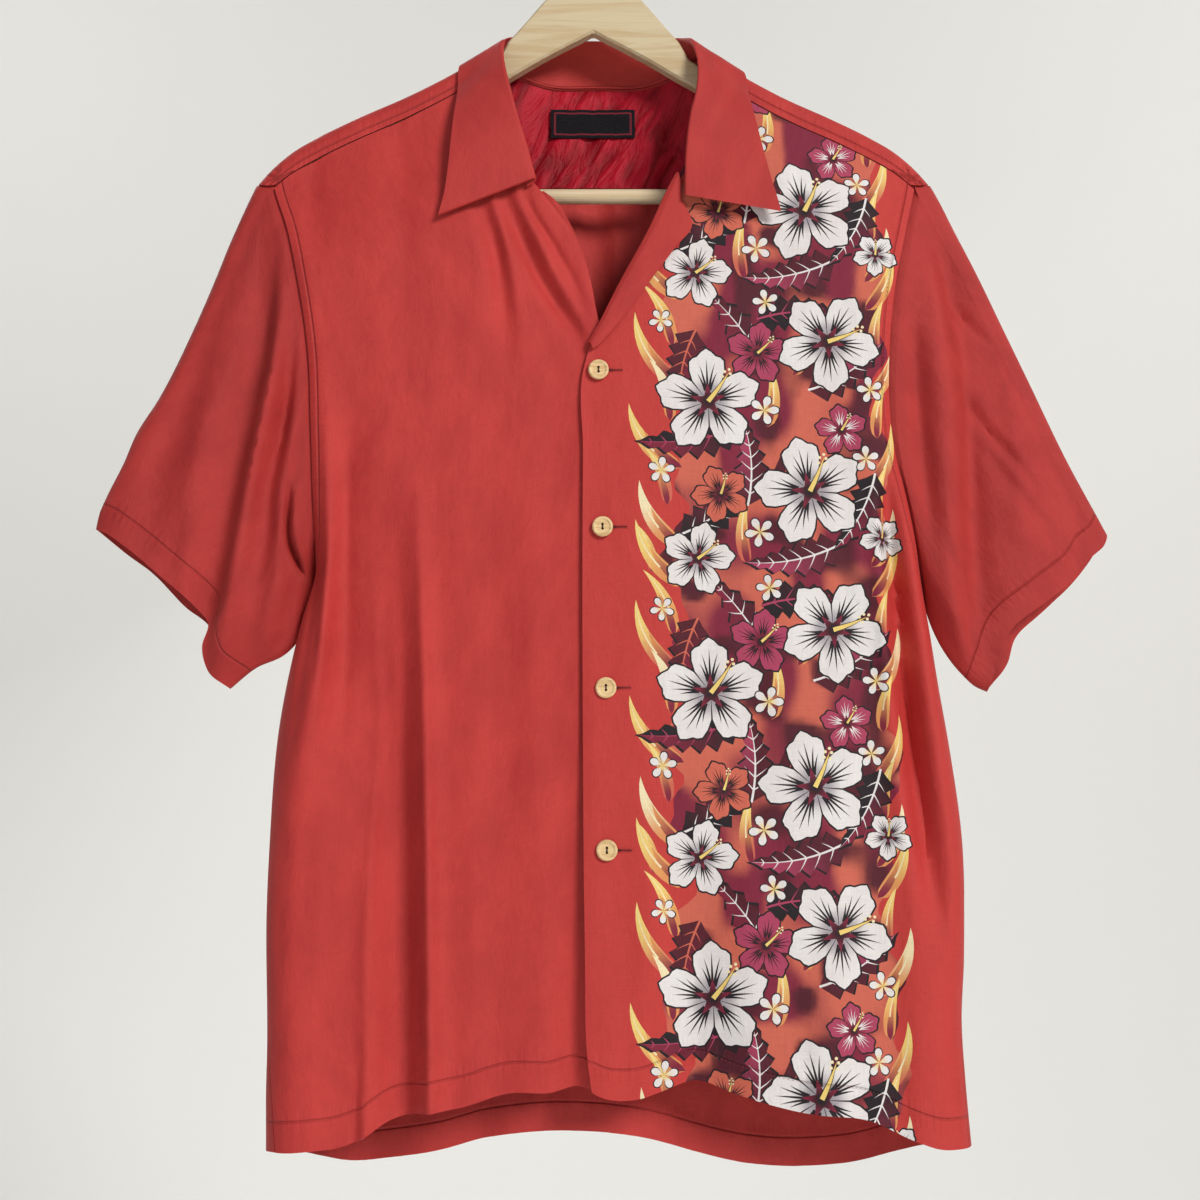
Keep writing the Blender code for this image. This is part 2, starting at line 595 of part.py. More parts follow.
def armhole(side, panel, share):
    """Points and outward normals of the armhole, from the shoulder's ridge to the underarm."""
    way = -1 if panel == "front" else 1
    reach = FRONT_YOKE if panel == "front" else 25.0
    a = way * np.linspace(0, reach - 1, 7)
    over = yoke_point(side * yoke_end(a), a)
    lean = np.clip(np.abs(a) / SHOULDER_RADIUS, 0, math.pi / 2)
    over_normal = np.stack([0 * a, way * np.sin(lean), np.cos(lean)], axis=-1)
    low = LEFT_UNDERARM if side > 0 else RIGHT_UNDERARM
    z = np.linspace(over[-1, 2] - 4, low, 24)
    down = body_point(side, panel, np.zeros_like, np.ones_like(z), z, {})
    turn = np.abs(side_at(side, panel, z)[1])
    down_normal = np.stack([side * np.cos(turn), way * np.sin(turn), 0 * z], axis=-1)
    both = np.hstack([np.concatenate([over, down]), np.concatenate([over_normal, down_normal])])
    way_along = np.concatenate([[0], np.cumsum(np.linalg.norm(np.diff(both[:, :3], axis=0), axis=1))])
    table = np.column_stack([way_along / way_along[-1], both])
    made = np.stack([through(table, k + 1, share) for k in range(6)], axis=-1)
    return made[..., :3], made[..., 3:]


def sleeve_layer(side, sizes, panel, s, lengths, folds):
    """Points of a sleeve's front or back layer. s runs from its top fold to its bottom fold.

    The first two rows bring the sleeve's edge under the body's; the rest run evenly to the hem.
    """
    mirror = np.array([side, 1])
    hem = along(sizes[panel + " hem"], s) * mirror
    start, normal = armhole(side, panel, s)
    span = np.linalg.norm(hem - start[:, [0, 2]], axis=1)
    even = np.linspace(0, 1, lengths)[:, None]
    tuck = np.array([0, 3, 7])[:, None] / span
    t = np.concatenate([tuck, tuck[-1] + (1 - tuck[-1]) * even[1:]])
    top = along(sizes["top"], t) * mirror
    bottom = along(sizes["bottom"], t) * mirror
    top_ends = along(sizes["top"], np.array([0.0, 1.0])) * mirror
    bottom_ends = along(sizes["bottom"], np.array([0.0, 1.0])) * mirror
    ts, ss = t[..., None], s[None, :, None]
    top = top - (1 - ts) * top_ends[0] - ts * top_ends[1]
    bottom = bottom - (1 - ts) * bottom_ends[0] - ts * bottom_ends[1]
    plane = (1 - ts) * start[None][..., [0, 2]] + ts * hem[None] + (1 - ss) * top + ss * bottom
    out = hem - start[:, [0, 2]]
    out /= np.linalg.norm(out, axis=1, keepdims=True)
    way = -1 if panel == "front" else 1
    lens = np.sqrt(np.clip(4 * s * (1 - s), 0, 1))
    y = (1 - t) * start[None, :, 1] + t * way * SLEEVE_HALF_DEPTH * lens
    x, z = plane[..., 0], plane[..., 1]
    fade = smoothstep((t - 0.03) / 0.2) * smoothstep(s * 7) * smoothstep((1 - s) * 7)
    y = y - way * fold_depth(folds, side * x, z) * fade
    points = np.stack([x, y, z], axis=-1)
    beyond = np.cross(normal, np.gradient(start, axis=0)) * -way * side
    beyond /= np.linalg.norm(beyond, axis=1, keepdims=True)
    square = np.clip(out[:, 0] * normal[:, 0] + out[:, 1] * normal[:, 2], 0, 1)[:, None]
    down = np.clip(-out[:, 0] * normal[:, 0] - out[:, 1] * normal[:, 2], 0, 1)[:, None]
    for row, flat, upright in ((0, (-1.2, -3.2), (1.7, -1.6)), (1, (2.2, -2.0), (1.5, 1.6))):
        along_edge = flat[0] + (upright[0] - flat[0]) * square - 1.3 * row * down
        off_body = flat[1] + (upright[1] - flat[1]) * square
        points[row] = start + beyond * along_edge + normal * off_body
    points[2] += beyond * square
    return points, t


def sleeve(name, side, sizes, front_folds, columns, rows, cloth):
    """A short sleeve: a tube from the armhole to the hem, pressed flat, with its folds."""
    s = np.linspace(0, 1, columns // 2 + 1)
    s = 0.4 * s + 0.6 * (0.5 - 0.5 * np.cos(math.pi * s))
    front, t = sleeve_layer(side, sizes, "front", s, rows, front_folds)
    back, _ = sleeve_layer(side, sizes, "back", s, rows, SLEEVE_BACK_FOLDS)
    need = 6.0 * np.sqrt(np.clip(4 * s * (1 - s), 0, 1)) * smoothstep(t / 0.1)
    short = np.maximum(need - (back[..., 1] - front[..., 1]), 0)
    front[..., 1] -= short / 2
    back[..., 1] += short / 2
    points = np.concatenate([front, back[:, -2:0:-1]], axis=1)
    hem = np.concatenate([t, t[:, -2:0:-1]], axis=1) > 0.9
    if side > 0:
        points = points[:, ::-1]
        hem = hem[:, ::-1]
    return wall(name, points, np.where(hem, HEM_WALL, CLOTH), cloth, closed=True)


def strip_section(seam, crown, edge, stand, fold, fall, half):
    """Points and normals across a folded strip, for each row of its seam, its fold and its outer edge."""
    up = crown - (seam + edge) / 2
    up /= np.linalg.norm(up, axis=1, keepdims=True)
    out = edge - seam
    out -= up * np.sum(out * up, axis=1, keepdims=True)
    out /= np.linalg.norm(out, axis=1, keepdims=True)
    inside = crown - (up + out) * half
    outside = crown - (up - out) * half

    def facing(line, way):
        flat = out * way - line * (np.sum(line * out * way, axis=1) / np.sum(line * line, axis=1))[:, None]
        return flat / np.linalg.norm(flat, axis=1, keepdims=True)

    points = [seam + (inside - seam) * k / stand for k in range(stand)]
    normals = [facing(inside - seam, -1)] * stand
    for k in range(fold + 1):
        angle = math.pi * (1 - k / fold)
        normals.append(out * math.cos(angle) + up * math.sin(angle))
        points.append(crown - up * half + normals[-1] * half)
    points += [outside + (edge - outside) * k / fall for k in range(1, fall + 1)]
    normals += [facing(edge - outside, 1)] * fall
    return np.stack(points, axis=1), np.stack(normals, axis=1)


def neck_line(share):
    """The edge the collar is sewn to: points, outward normals, and unit vectors into the neck's hole."""
    places, normals = [], []
    for x, z in RIGHT_END:
        places.append((x, float(front_y(x, z)) - 0.3, z))
        normals.append((0, -1, 0))
    for z in np.linspace(-211, -150, 10):
        x = float(through(RIGHT_FRONT_EDGE, 1, z))
        places.append((x, float(front_y(x, z)), z))
        normals.append((0, -1, 0))
    spans = ((-82.5, -60), (-52, 56), (64, 86.5))
    for x in np.concatenate([np.linspace(low, high, 12) for low, high in spans]):
        a = float(neck_start(x))
        places.append(tuple(float(p) for p in yoke_point(np.array(x), np.array(a))))
        lean = min(abs(a) / SHOULDER_RADIUS, math.pi / 2)
        normals.append((0, math.copysign(math.sin(lean), a), math.cos(lean)))
    for z in np.linspace(-150, -200, 9):
        x = float(through(LEFT_FRONT_EDGE, 1, z))
        places.append((x, float(front_y(x, z)), z))
        normals.append((0, -1, 0))
    for x, z in LEFT_END:
        places.append((x, float(front_y(x, z)) - 2.6, z))
        normals.append((0, -1, 0))
    places, normals = np.array(places), np.array(normals)
    way = np.concatenate([[0], np.cumsum(np.linalg.norm(np.diff(places, axis=0), axis=1))])
    table = np.column_stack([way / way[-1], places, normals])
    line = np.stack([through(table, k + 1, share) for k in range(6)], axis=-1)
    places, normals = line[:, :3], line[:, 3:]
    normals /= np.linalg.norm(normals, axis=1, keepdims=True)
    into = np.cross(np.gradient(places, axis=0), normals)
    into *= np.sign(np.sum(into * (np.array([NECK_CENTRE, 0, -120]) - places), axis=1, keepdims=True))
    into /= np.linalg.norm(into, axis=1, keepdims=True)
    return places, normals, into


def clear_of_body(points, clearance):
    """Move points outwards until they stand clear of the yoke and the fronts."""
    x, y, z = (points[..., k].copy() for k in range(3))
    middle = through(RIDGE, 1, np.maximum(np.abs(x - NECK_CENTRE), NECK_HALF)) - SHOULDER_RADIUS
    high = z > middle
    reach = np.hypot(y, z - middle)
    need = np.where(high, np.maximum(SHOULDER_RADIUS + clearance - reach, 0), 0)
    push_y = need * y / reach
    push_z = need * (z - middle) / reach
    depth = np.where(y < 0, -front_y(x, z), back_y(x, z)) + clearance
    flat = np.where(high, 0, np.maximum(depth - np.abs(y), 0)) * np.sign(y)
    return np.stack([x, y + push_y + flat, z + push_z], axis=-1)


def collar(counts, cloth):
    """A one-piece collar: it stands up from the neck seam, folds over and falls outside."""
    ends = (0, 0.18, 0.34, 0.63, 0.79, 1.0)
    share = [np.linspace(a, b, n, endpoint=False) for a, b, n in zip(ends, ends[1:], counts)]
    share = np.concatenate([*share, [1.0]])
    places, normals, into = neck_line(share)
    crown = np.stack([through(COLLAR, k, share) for k in (1, 2, 3)], axis=-1)
    edge = np.stack([through(COLLAR, k, share) for k in (4, 5, 6)], axis=-1)
    edge = clear_of_body(edge, COLLAR_WALL + 1.7)
    rise = crown - places
    rise /= np.linalg.norm(rise, axis=1, keepdims=True)
    flat = np.abs(np.sum(rise * into, axis=1, keepdims=True))
    end = np.maximum(smoothstep((0.06 - share) / 0.06), smoothstep((share - 0.90) / 0.05))[:, None]
    lift = -1.3 * flat * (1 - end) + 0.6 * end
    seam = places + into * (1.3 + COLLAR_WALL * (1 - flat)) + normals * lift + rise * 0.6
    points, normals = strip_section(seam, crown, edge, 2, 4, 3, 2.3)
    points[:, -3:] = clear_of_body(points[:, -3:], COLLAR_WALL + 1.7)
    return wall("collar", points, COLLAR_WALL, cloth, normals=normals)


def lapel(cloth):
    """The turned-back edge of the wearer's left front, which shows the facing."""
    share = np.linspace(0, 1, 11)
    rows = [(w, *row) for w, row in zip(np.linspace(0, 1, len(LAPEL)), LAPEL)]
    turn_z, out_x, out_z = (through(rows, k, share) for k in (1, 2, 3))
    turn_x = through(LEFT_FRONT_EDGE, 1, turn_z) - 2.7
    half = 1.7
    flat = front_surface(1, turn_x, turn_z)
    points = []
    for angle in (100, 145, 190, 235, 270):
        a = math.radians(angle)
        round_x, round_y = half + half * math.cos(a), half * math.sin(a) - 0.6
        points.append(np.stack([turn_x + round_x, flat + round_y, turn_z], axis=-1))
    last = points[-1]
    for k in (0.35, 0.7, 1.0):
        x = last[:, 0] + (out_x - last[:, 0]) * k
        z = last[:, 2] + (out_z - last[:, 2]) * k
        points.append(np.stack([x, front_surface(1, x, z) - 3.2 - 0.6 * math.sin(math.pi * k), z], axis=-1))
    grid = np.stack(points, axis=1)
    line = np.gradient(np.stack([turn_x, flat, turn_z], axis=-1), axis=0)[:, None]
    normals = np.cross(line, np.gradient(grid, axis=1))
    normals /= np.linalg.norm(normals, axis=-1, keepdims=True)
    return wall("left_lapel", grid, CLOTH, cloth, normals=normals)


def facing(cloth):
    """The turned-in edge of the wearer's right front, whose corner shows in the neck."""
    z = np.array([-234, -240, -247, -255, -266, -282, -304, -330], float)
    edge = through(RIGHT_FRONT_EDGE, 1, z)
    proud = np.array([2.5, 5.5, 5.5, 3.5, 1.2, 0.6, 0.4, 0.2])
    share = np.linspace(0, 1, 4)
    x = (edge + proud)[:, None] - (proud[:, None] + 22) * share
    y = front_surface(-1, x, z[:, None]) + CLOTH + 1.3 + 1.4 * share
    points = np.stack([x, y, np.broadcast_to(z[:, None], x.shape)], axis=-1)
    return wall("right_facing", points[:, ::-1], 1.0, cloth)


def button(name, x, z, y, cloth):
    """A flat round button with a raised rim and two thread holes."""
    half = BUTTON_THICKNESS / 2
    profile = ((0.0, half * 0.45), (4.2, half * 0.45), (5.2, half), (6.3, half),
               (BUTTON_RADIUS, half * 0.35), (BUTTON_RADIUS, -half * 0.4), (5.9, -half), (0.0, -half))
    sides = 16
    ring = np.linspace(0, 2 * math.pi, sides, endpoint=False)
    points, faces = [], []
    for radius, up in profile[1:-1]:
        points += [(radius * math.cos(r), -up, radius * math.sin(r)) for r in ring]
    rings = len(profile) - 2
    for i in range(rings - 1):
        for j in range(sides):
            k = (j + 1) % sides
            faces.append((i * sides + j, i * sides + k, (i + 1) * sides + k, (i + 1) * sides + j))
    faces.append(tuple(range(sides))[::-1])
    faces.append(tuple((rings - 1) * sides + j for j in range(sides)))
    obj = add_object(name, points, faces, cloth)
    for up in (-1.5, 1.5):
        cut_hole(obj, BUTTON_HOLE_RADIUS, (x, y, z + up), (math.pi / 2, 0, 0), 6, 6)
    obj.location = (x * MM, y * MM, z * MM)
    return obj


# ---------------------------------------------------------------- the hanger


def hanger_arms(wood):
    """The flat wooden arms: one outline, cut from a board and eased along its edges."""
    right = [(x, top) for x, top, _ in HANGER_OUTLINE] + [(x, low) for x, _, low in HANGER_OUTLINE[::-1]]
    left = [(-x, z) for x, z in right[::-1] if x]
    outline = right + left
    half = HANGER_THICKNESS / 2
    count = len(outline)
    points = [(x, -half, z) for x, z in outline] + [(x, half, z) for x, z in outline]
    faces = [tuple(range(count - 1, -1, -1)), tuple(range(count, 2 * count))]
    faces += [(i, (i + 1) % count, count + (i + 1) % count, count + i) for i in range(count)]
    obj = add_object("hanger_arms", points, faces, wood, smooth=False)
    ease = obj.modifiers.new("eased edges", "BEVEL")
    ease.width = 1.5 * MM
    ease.segments = 1
    ease.limit_method = "ANGLE"
    ease.angle_limit = math.radians(60)
    top = HANGER_OUTLINE[0][1]
    cut_hole(obj, WIRE_RADIUS + 0.4, (0, 0, top), (0, 0, 0), 2 * (SHANK_DEPTH + 0.6), 12)
    return obj


def hanger_bar(wood):
    """The round bar between the arms. Its ends stop at the arms' inner faces."""
    reach = through([(low, x) for x, _, low in HANGER_OUTLINE[4:12]], 1, BAR_HEIGHT + BAR_RADIUS + 4)
    bpy.ops.mesh.primitive_cylinder_add(vertices=20, radius=BAR_RADIUS * MM, depth=2 * (reach - 1) * MM,
                                        location=(0, 0, BAR_HEIGHT * MM), rotation=(0, math.pi / 2, 0))
    bar = bpy.context.object
    bar.name = "hanger_bar"
    bar.data.materials.append(wood)
    bar.data.shade_smooth()
    bar.data.set_sharp_from_angle(angle=math.radians(50))
    return bar


def hanger_hook(steel):
    """A wire hook: a shank up from the arms, then most of a circle. The rail bears at the origin."""
    centre = WIRE_RADIUS - HOOK_RADIUS
    points = [(0, HANGER_OUTLINE[0][1] - SHANK_DEPTH), (0, -50), (0.8, -45.5), (3.2, -41.8), (6.9, -38.9)]
    for k in range(0, 16):
        angle = math.radians(-58 + k * 16.5)
        points.append((HOOK_RADIUS * math.cos(angle), centre + HOOK_RADIUS * math.sin(angle)))
    data = bpy.data.curves.new("hanger_hook", "CURVE")
    data.dimensions = "3D"
    data.bevel_depth = WIRE_RADIUS * MM
    data.bevel_resolution = 2
    data.use_fill_caps = True
    line = data.splines.new("POLY")
    line.points.add(len(points) - 1)
    for point, (x, z) in zip(line.points, points):
        point.co = (x * MM, 0, z * MM, 1)
    data.materials.append(steel)
    hook = bpy.data.objects.new("hanger_hook", data)
    bpy.context.scene.collection.objects.link(hook)
    return hook


def main():
    for obj in list(bpy.data.objects):
        bpy.data.objects.remove(obj)
    red = material("red_rayon", (0.50, 0.035, 0.032), 0.62)
    satin = material("red_satin", (0.42, 0.010, 0.022), 0.35)
    black = material("black_label", (0.012, 0.012, 0.016), 0.8)
    tan = material("pale_button", (0.72, 0.50, 0.24), 0.4)
    wood = material("pale_wood", (0.74, 0.58, 0.34), 0.5)
    steel = material("steel", (0.62, 0.62, 0.64), 0.25, 1.0)

    front_panel("right_front", -1, RIGHT_FRONT_EDGE, RIGHT_FRONT_FOLDS, 21, 16, 13, red)
    front_panel("left_front", 1, LEFT_FRONT_EDGE, LEFT_FRONT_FOLDS, 21, 18, 13, red)
    back_panel(34, 10, 13, red)
    yoke(red)
    yoke_lining(18, 6, satin)
    label(7, black)
    sleeve("right_sleeve", -1, RIGHT_SLEEVE, RIGHT_SLEEVE_FOLDS, 32, 9, red)
    sleeve("left_sleeve", 1, LEFT_SLEEVE, LEFT_SLEEVE_FOLDS, 32, 9, red)
    collar((6, 10, 9, 10, 8), red)
    lapel(red)
    facing(red)
    for number, (x, z) in enumerate(BUTTONS, 1):
        y = float(front_surface(1, x, z)) - BUTTON_THICKNESS / 2 - 0.8
        button(f"button_{number}", x, z, y, tan)
    hanger_arms(wood)
    hanger_bar(wood)
    hanger_hook(steel)


main()
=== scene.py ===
"""The looks of a camp-collar shirt on a wooden hanger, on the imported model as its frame.

Lengths are in millimetres until a mesh is made. X runs to the viewer's right, Z up and Y away from the
viewer. "Left" and "right" in the pieces' names are the wearer's. The tables of the cloth's form are those
of the part's source and the functions work as they do there, so each piece lies where its solid does.
"""

import math

import bpy
import numpy as np
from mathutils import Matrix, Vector
from mathutils.geometry import delaunay_2d_cdt


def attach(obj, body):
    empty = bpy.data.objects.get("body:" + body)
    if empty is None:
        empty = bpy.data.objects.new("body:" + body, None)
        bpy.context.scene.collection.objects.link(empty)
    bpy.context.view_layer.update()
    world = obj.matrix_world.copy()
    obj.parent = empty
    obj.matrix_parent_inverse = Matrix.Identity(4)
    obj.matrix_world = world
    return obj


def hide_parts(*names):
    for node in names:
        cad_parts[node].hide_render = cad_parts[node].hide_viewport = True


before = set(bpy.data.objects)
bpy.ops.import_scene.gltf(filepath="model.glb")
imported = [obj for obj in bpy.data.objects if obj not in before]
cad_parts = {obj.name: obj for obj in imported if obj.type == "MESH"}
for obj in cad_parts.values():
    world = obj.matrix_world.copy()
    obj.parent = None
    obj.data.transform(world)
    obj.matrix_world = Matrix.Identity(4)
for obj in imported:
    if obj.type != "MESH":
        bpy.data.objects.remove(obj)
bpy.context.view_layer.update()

MM = 0.001

# ---------------------------------------------------------------- driving dimensions
CLOTH = 1.2  # wall of a single layer
HEM_WALL = 2.2  # wall of a turned-up hem
HEM_HEIGHT = 19.0
COLLAR_WALL = 1.6
LINING_WALL = 1.0
LINING_GAP = 1.2
SEAM_GAP = 0.35  # each piece stops this far short of a seam
SIDE_GAP = 0.3  # the same at the side seams
SHOULDER_RADIUS = 10.5  # outside of the yoke where it goes over the hanger
FRONT_DEPTH = 28.0  # from the hanger's plane to the front panels
BACK_DEPTH = 24.0
FRONT_SETTLES = 120  # how far below the ridge the fronts reach their depth
BACK_SETTLES = 95
NECK_BULGE = 5  # how much deeper the back is just behind the neck
NECK_CENTRE = 2.0
NECK_HALF = 78.0  # from the neck's centre to a shoulder-neck point
YOKE_HALF_WIDTH, YOKE_STRAIGHT = 237, 200  # its ends curve in beyond the second
FRONT_YOKE = 26.0  # from the shoulder ridge to the front yoke seam, along the cloth
BACK_YOKE = 25.0  # from the shoulder ridge to the back yoke seam at an armhole, along the cloth
SIDE_RADIUS = 24.0  # width of the turn from front to back at a side
BUTTON_RADIUS = 7.0
BUTTON_THICKNESS = 2.6
BUTTON_HOLE_RADIUS = 0.9
LAP_RISE = 2.6  # how far the lap stands proud of the front below it
LAP_DROP = 1.2  # how far the front below it is pressed in
LAP_REACH = 78  # from a front's edge to where neither shows any more
LAP_TOP = -262  # height at which the lap begins
UNDERARM = {1: -520.0, -1: -500.0}  # height of the underarm at each side, by the sign of x
THINNER = 0.3  # how much thinner a sheet is here than its solid
ARMHOLE_ROW = 6.0  # from an armhole's edge to its row of stitches
SIDE_ROW = 9.0  # the same at a side seam
YOKE_ROW = 5.5  # the same at the yoke's seams
CUFF_ROW = 18.0  # the same at a sleeve's hem
FAR = 99  # a distance at which stitching leaves no mark

# ---------------------------------------------------------------- tables of the shirt's outline
# The ridge of a shoulder: distance from the centre line, height
RIDGE = (
    (78, -122), (95, -133), (130, -153), (170, -172), (195, -185), (214, -197), (227, -209), (237, -221),
)

# The back yoke seam: distance from the centre line, height
BACK_YOKE_SEAM = ((0, -217), (120, -219), (190, -226), (228, -238))

# Where a front panel ends at the armhole and side seam.
# height, distance from the centre line, turn in degrees (90 faces forwards, 0 is the side)
RIGHT_FRONT_SIDE = (
    (-120, 232, 90), (-232, 222, 88), (-254, 214, 80), (-294, 204, 66), (-349, 195, 60), (-402, 192, 56),
    (-450, 190, 44), (-482, 189, 22), (-500, 190, 0), (-530, 198, 0), (-557, 204, 0), (-598, 211, 0),
    (-680, 216, 0), (-757, 216, 4), (-796, 213, 20), (-835, 208, 42), (-880, 203, 55),
)
LEFT_FRONT_SIDE = (
    (-120, 233, 90), (-232, 224, 88), (-256, 218, 80), (-300, 208, 66), (-345, 203, 58), (-380, 202, 54),
    (-415, 205, 48), (-450, 213, 40), (-478, 219, 28), (-500, 223, 12), (-520, 226, 0), (-578, 234, 0),
    (-618, 240, 0), (-690, 247, 0), (-757, 244, 20), (-796, 240, 28), (-835, 241, 30), (-880, 243, 34),
)
FRONT_SIDES = {1: LEFT_FRONT_SIDE, -1: RIGHT_FRONT_SIDE}
# The same for the back; below the underarm it ends where the front does.
BACK_ARMHOLE = (
    (-120, 236, 90), (-238, 228, 88), (-270, 215, 76), (-320, 206, 64), (-380, 201, 54), (-440, 198, 42),
    (-480, 193, 24), (-500, 190, 0),
)
SIDE_HEM = {1: -874.5, -1: -876.5}  # height of the hem at each side seam, by the sign of x

# The inner edge of each front: neckline, then the neck's edge, then the edge of the lap.
# height, x
RIGHT_FRONT_EDGE = (
    (-140, -82), (-147, -81), (-165, -77), (-190, -68), (-213, -54), (-231, -39), (-252, -23), (-264, -14),
    (-277, -8), (-298, -2), (-328, 4), (-350, 11), (-380, 19), (-420, 22), (-880, 24),
)
LEFT_FRONT_EDGE = (
    (-140, 87), (-147, 86), (-170, 83), (-192, 77), (-212, 65.5), (-227, 57), (-264, 39.8), (-305, 18.6),
    (-329, 7), (-345, -1.5), (-360, -6), (-420, -6.7), (-620, -6.5), (-750, -5), (-820, -3), (-842, 0),
)
FRONT_EDGES = {1: LEFT_FRONT_EDGE, -1: RIGHT_FRONT_EDGE}

# The hems. x, height
FRONT_HEM = (
    (-225, -874), (-183, -875), (-165, -874), (-148, -868), (-132, -858), (-115, -853), (-85, -848),
    (-52, -839), (-28, -839), (-5, -836), (5, -841), (27, -843), (45, -838), (67, -832), (90, -839),
    (132, -850), (180, -857), (204, -868), (224, -874), (250, -872),
)
BACK_HEM = (
    (-222, -878), (-195, -885), (-166, -892), (-129, -888), (-102, -883), (-70, -874), (-22, -869),
    (31, -874), (71, -885), (98, -892), (131, -896), (172, -892), (205, -883), (252, -874),
)

# Folds that run down the cloth. For each: rows of height, x, half width, depth (positive into the shirt)
RIGHT_FRONT_FOLDS = {
    "long trough": ((-430, -146, 16, 0), (-520, -137, 14, 5), (-565, -135, 14, 6.5), (-600, -134, 14, 10),
        (-652, -132, 14, 12.5), (-717, -129, 14, 14), (-780, -127, 14, 14), (-860, -126, 14, 13.5)),
    "long crest": ((-440, -120, 8, 0), (-520, -114, 8, -3), (-600, -110, 8, -4.5), (-652, -108, 8, -5),
        (-717, -106, 8, -5.5), (-780, -104, 8, -5.5), (-860, -103, 8, -5.5)),
    "side trough": ((-500, -157, 12, 0), (-587, -151, 13, 4), (-685, -156, 13, 5), (-860, -158, 13, 5)),
    "armhole trough": ((-360, -168, 14, 0), (-420, -168, 15, 4), (-560, -166, 16, 5), (-660, -170, 16, 0)),
    "side ridge": ((-380, -182, 9, 0), (-430, -180, 9, -4), (-545, -179, 10, -5), (-620, -190, 12, -3),
        (-700, -195, 14, 0)),
    "neck trough": ((-240, -60, 7, 4), (-269, -48, 7, 7), (-300, -33, 7, 7), (-326, -17, 7, 5),
        (-350, -4, 8, 0)),
    "collar trough": ((-244, -77, 7, 4), (-273, -68, 7, 6), (-331, -60, 8, 3), (-368, -58, 10, 0)),
    "lap trough": ((-600, -14, 12, 0), (-700, -14, 12, 3), (-800, -13, 12, 6), (-860, -12, 12, 6)),
}
LEFT_FRONT_FOLDS = {
    "side trough": ((-400, 199, 8, 0), (-436, 201, 8, 6), (-491, 205, 9, 13), (-545, 208, 9, 15),
        (-611, 213, 9, 14), (-665, 218, 10, 9), (-717, 225, 10, 4), (-749, 229, 10, 0)),
    "print trough": ((-520, 184, 16, 0), (-600, 186, 18, 4), (-760, 190, 20, 5), (-860, 192, 20, 4)),
    "hem trough": ((-640, 62, 22, 0), (-760, 64, 24, 5), (-860, 66, 26, 11)),
    "hem ridge": ((-680, 150, 30, 0), (-780, 150, 32, -4), (-870, 150, 34, -7)),
}
BACK_FOLDS = {
    "left hem ridge": ((-420, 128, 40, 0), (-650, 130, 42, -7), (-890, 132, 44, -15)),
    "right hem ridge": ((-420, -150, 36, 0), (-650, -158, 36, -7), (-890, -162, 36, -14)),
    "centre trough": ((-420, -22, 44, 0), (-650, -22, 46, 6), (-890, -22, 48, 10)),
    "box pleat": ((-216, 2, 13, -3.5), (-300, 2, 13, -3), (-430, 2, 16, 0)),
    "right shoulder trough": ((-235, -150, 26, 0), (-330, -138, 28, 4), (-460, -120, 30, 5),
        (-600, -108, 30, 0)),
    "left shoulder trough": ((-235, 158, 26, 0), (-330, 148, 28, 4), (-460, 132, 30, 5),
        (-600, 116, 30, 0)),
}

# Sleeves: the top fold from the shoulder to the hem, the bottom fold from the underarm to the hem, and the
# hem's front and back layers from top to bottom. distance from the centre line, height
RIGHT_SLEEVE = {
    "top": ((238, -221), (244, -234), (255, -259), (266, -289), (280, -325), (303, -376), (317, -400),
        (325, -421), (335, -443), (340, -456), (342, -467)),
    "bottom": ((191, -501), (195, -514), (199.3, -530), (202.5, -545), (212, -555), (229, -563),
        (246, -577)),
    "front hem": ((342, -467), (335, -470), (317, -482), (294, -501), (268, -524), (261, -533),
        (265, -549), (260, -566), (246, -577)),
    "back hem": ((342, -467), (324, -482), (306, -495), (279, -521), (263, -535), (262, -551), (252, -568),
        (246, -577)),
}
LEFT_SLEEVE = {
    "top": ((237, -223), (245, -238), (253, -254), (269, -287), (284, -321), (303, -364), (328, -421),
        (346, -457), (353, -471)),
    "bottom": ((226, -521), (230, -534), (238, -551), (250, -567), (260, -576), (267, -579)),
    "front hem": ((353, -471), (349, -479), (337, -490), (331, -499), (309, -517), (280, -541),
        (273, -561), (267, -579)),
    "back hem": ((353, -471), (347, -482), (334, -500), (311, -522), (288, -543), (282, -560),
        (267, -579)),
}
SLEEVE_HALF_DEPTH = 15.0  # of the hem's opening
RIGHT_SLEEVE_FOLDS = {
    "outer trough": ((-235, 219, 9, 0), (-261, 221, 10, 4), (-295, 226, 12, 7), (-336, 230, 13, 8.5),
        (-380, 237, 14, 9), (-421, 244, 14, 9), (-460, 251, 15, 8.5), (-500, 259, 16, 9),
        (-540, 267, 17, 8)),
    "front ridge": ((-245, 212, 8, 0), (-267, 211, 8, -4), (-300, 211, 8, -7), (-346, 215, 9, -9),
        (-383, 222, 9, -9), (-417, 228, 10, -9), (-473, 238, 11, -9), (-509, 243, 12, -8),
        (-540, 250, 13, -5), (-570, 256, 14, -4)),
}
LEFT_SLEEVE_FOLDS = {
    "outer trough": ((-235, 231, 14, 0), (-290, 252, 15, 5), (-360, 266, 17, 8), (-450, 263, 20, 8),
        (-520, 262, 20, 7), (-560, 264, 18, 4)),
    "front ridge": ((-245, 223, 11, 0), (-300, 232, 12, -4), (-400, 241, 13, -7), (-500, 243, 14, -8),
        (-560, 250, 15, -6)),
}
SLEEVE_BACK_FOLDS = {
    "back trough": ((-260, 226, 16, 0), (-350, 246, 18, 6), (-450, 266, 20, 8), (-540, 280, 20, 7)),
}

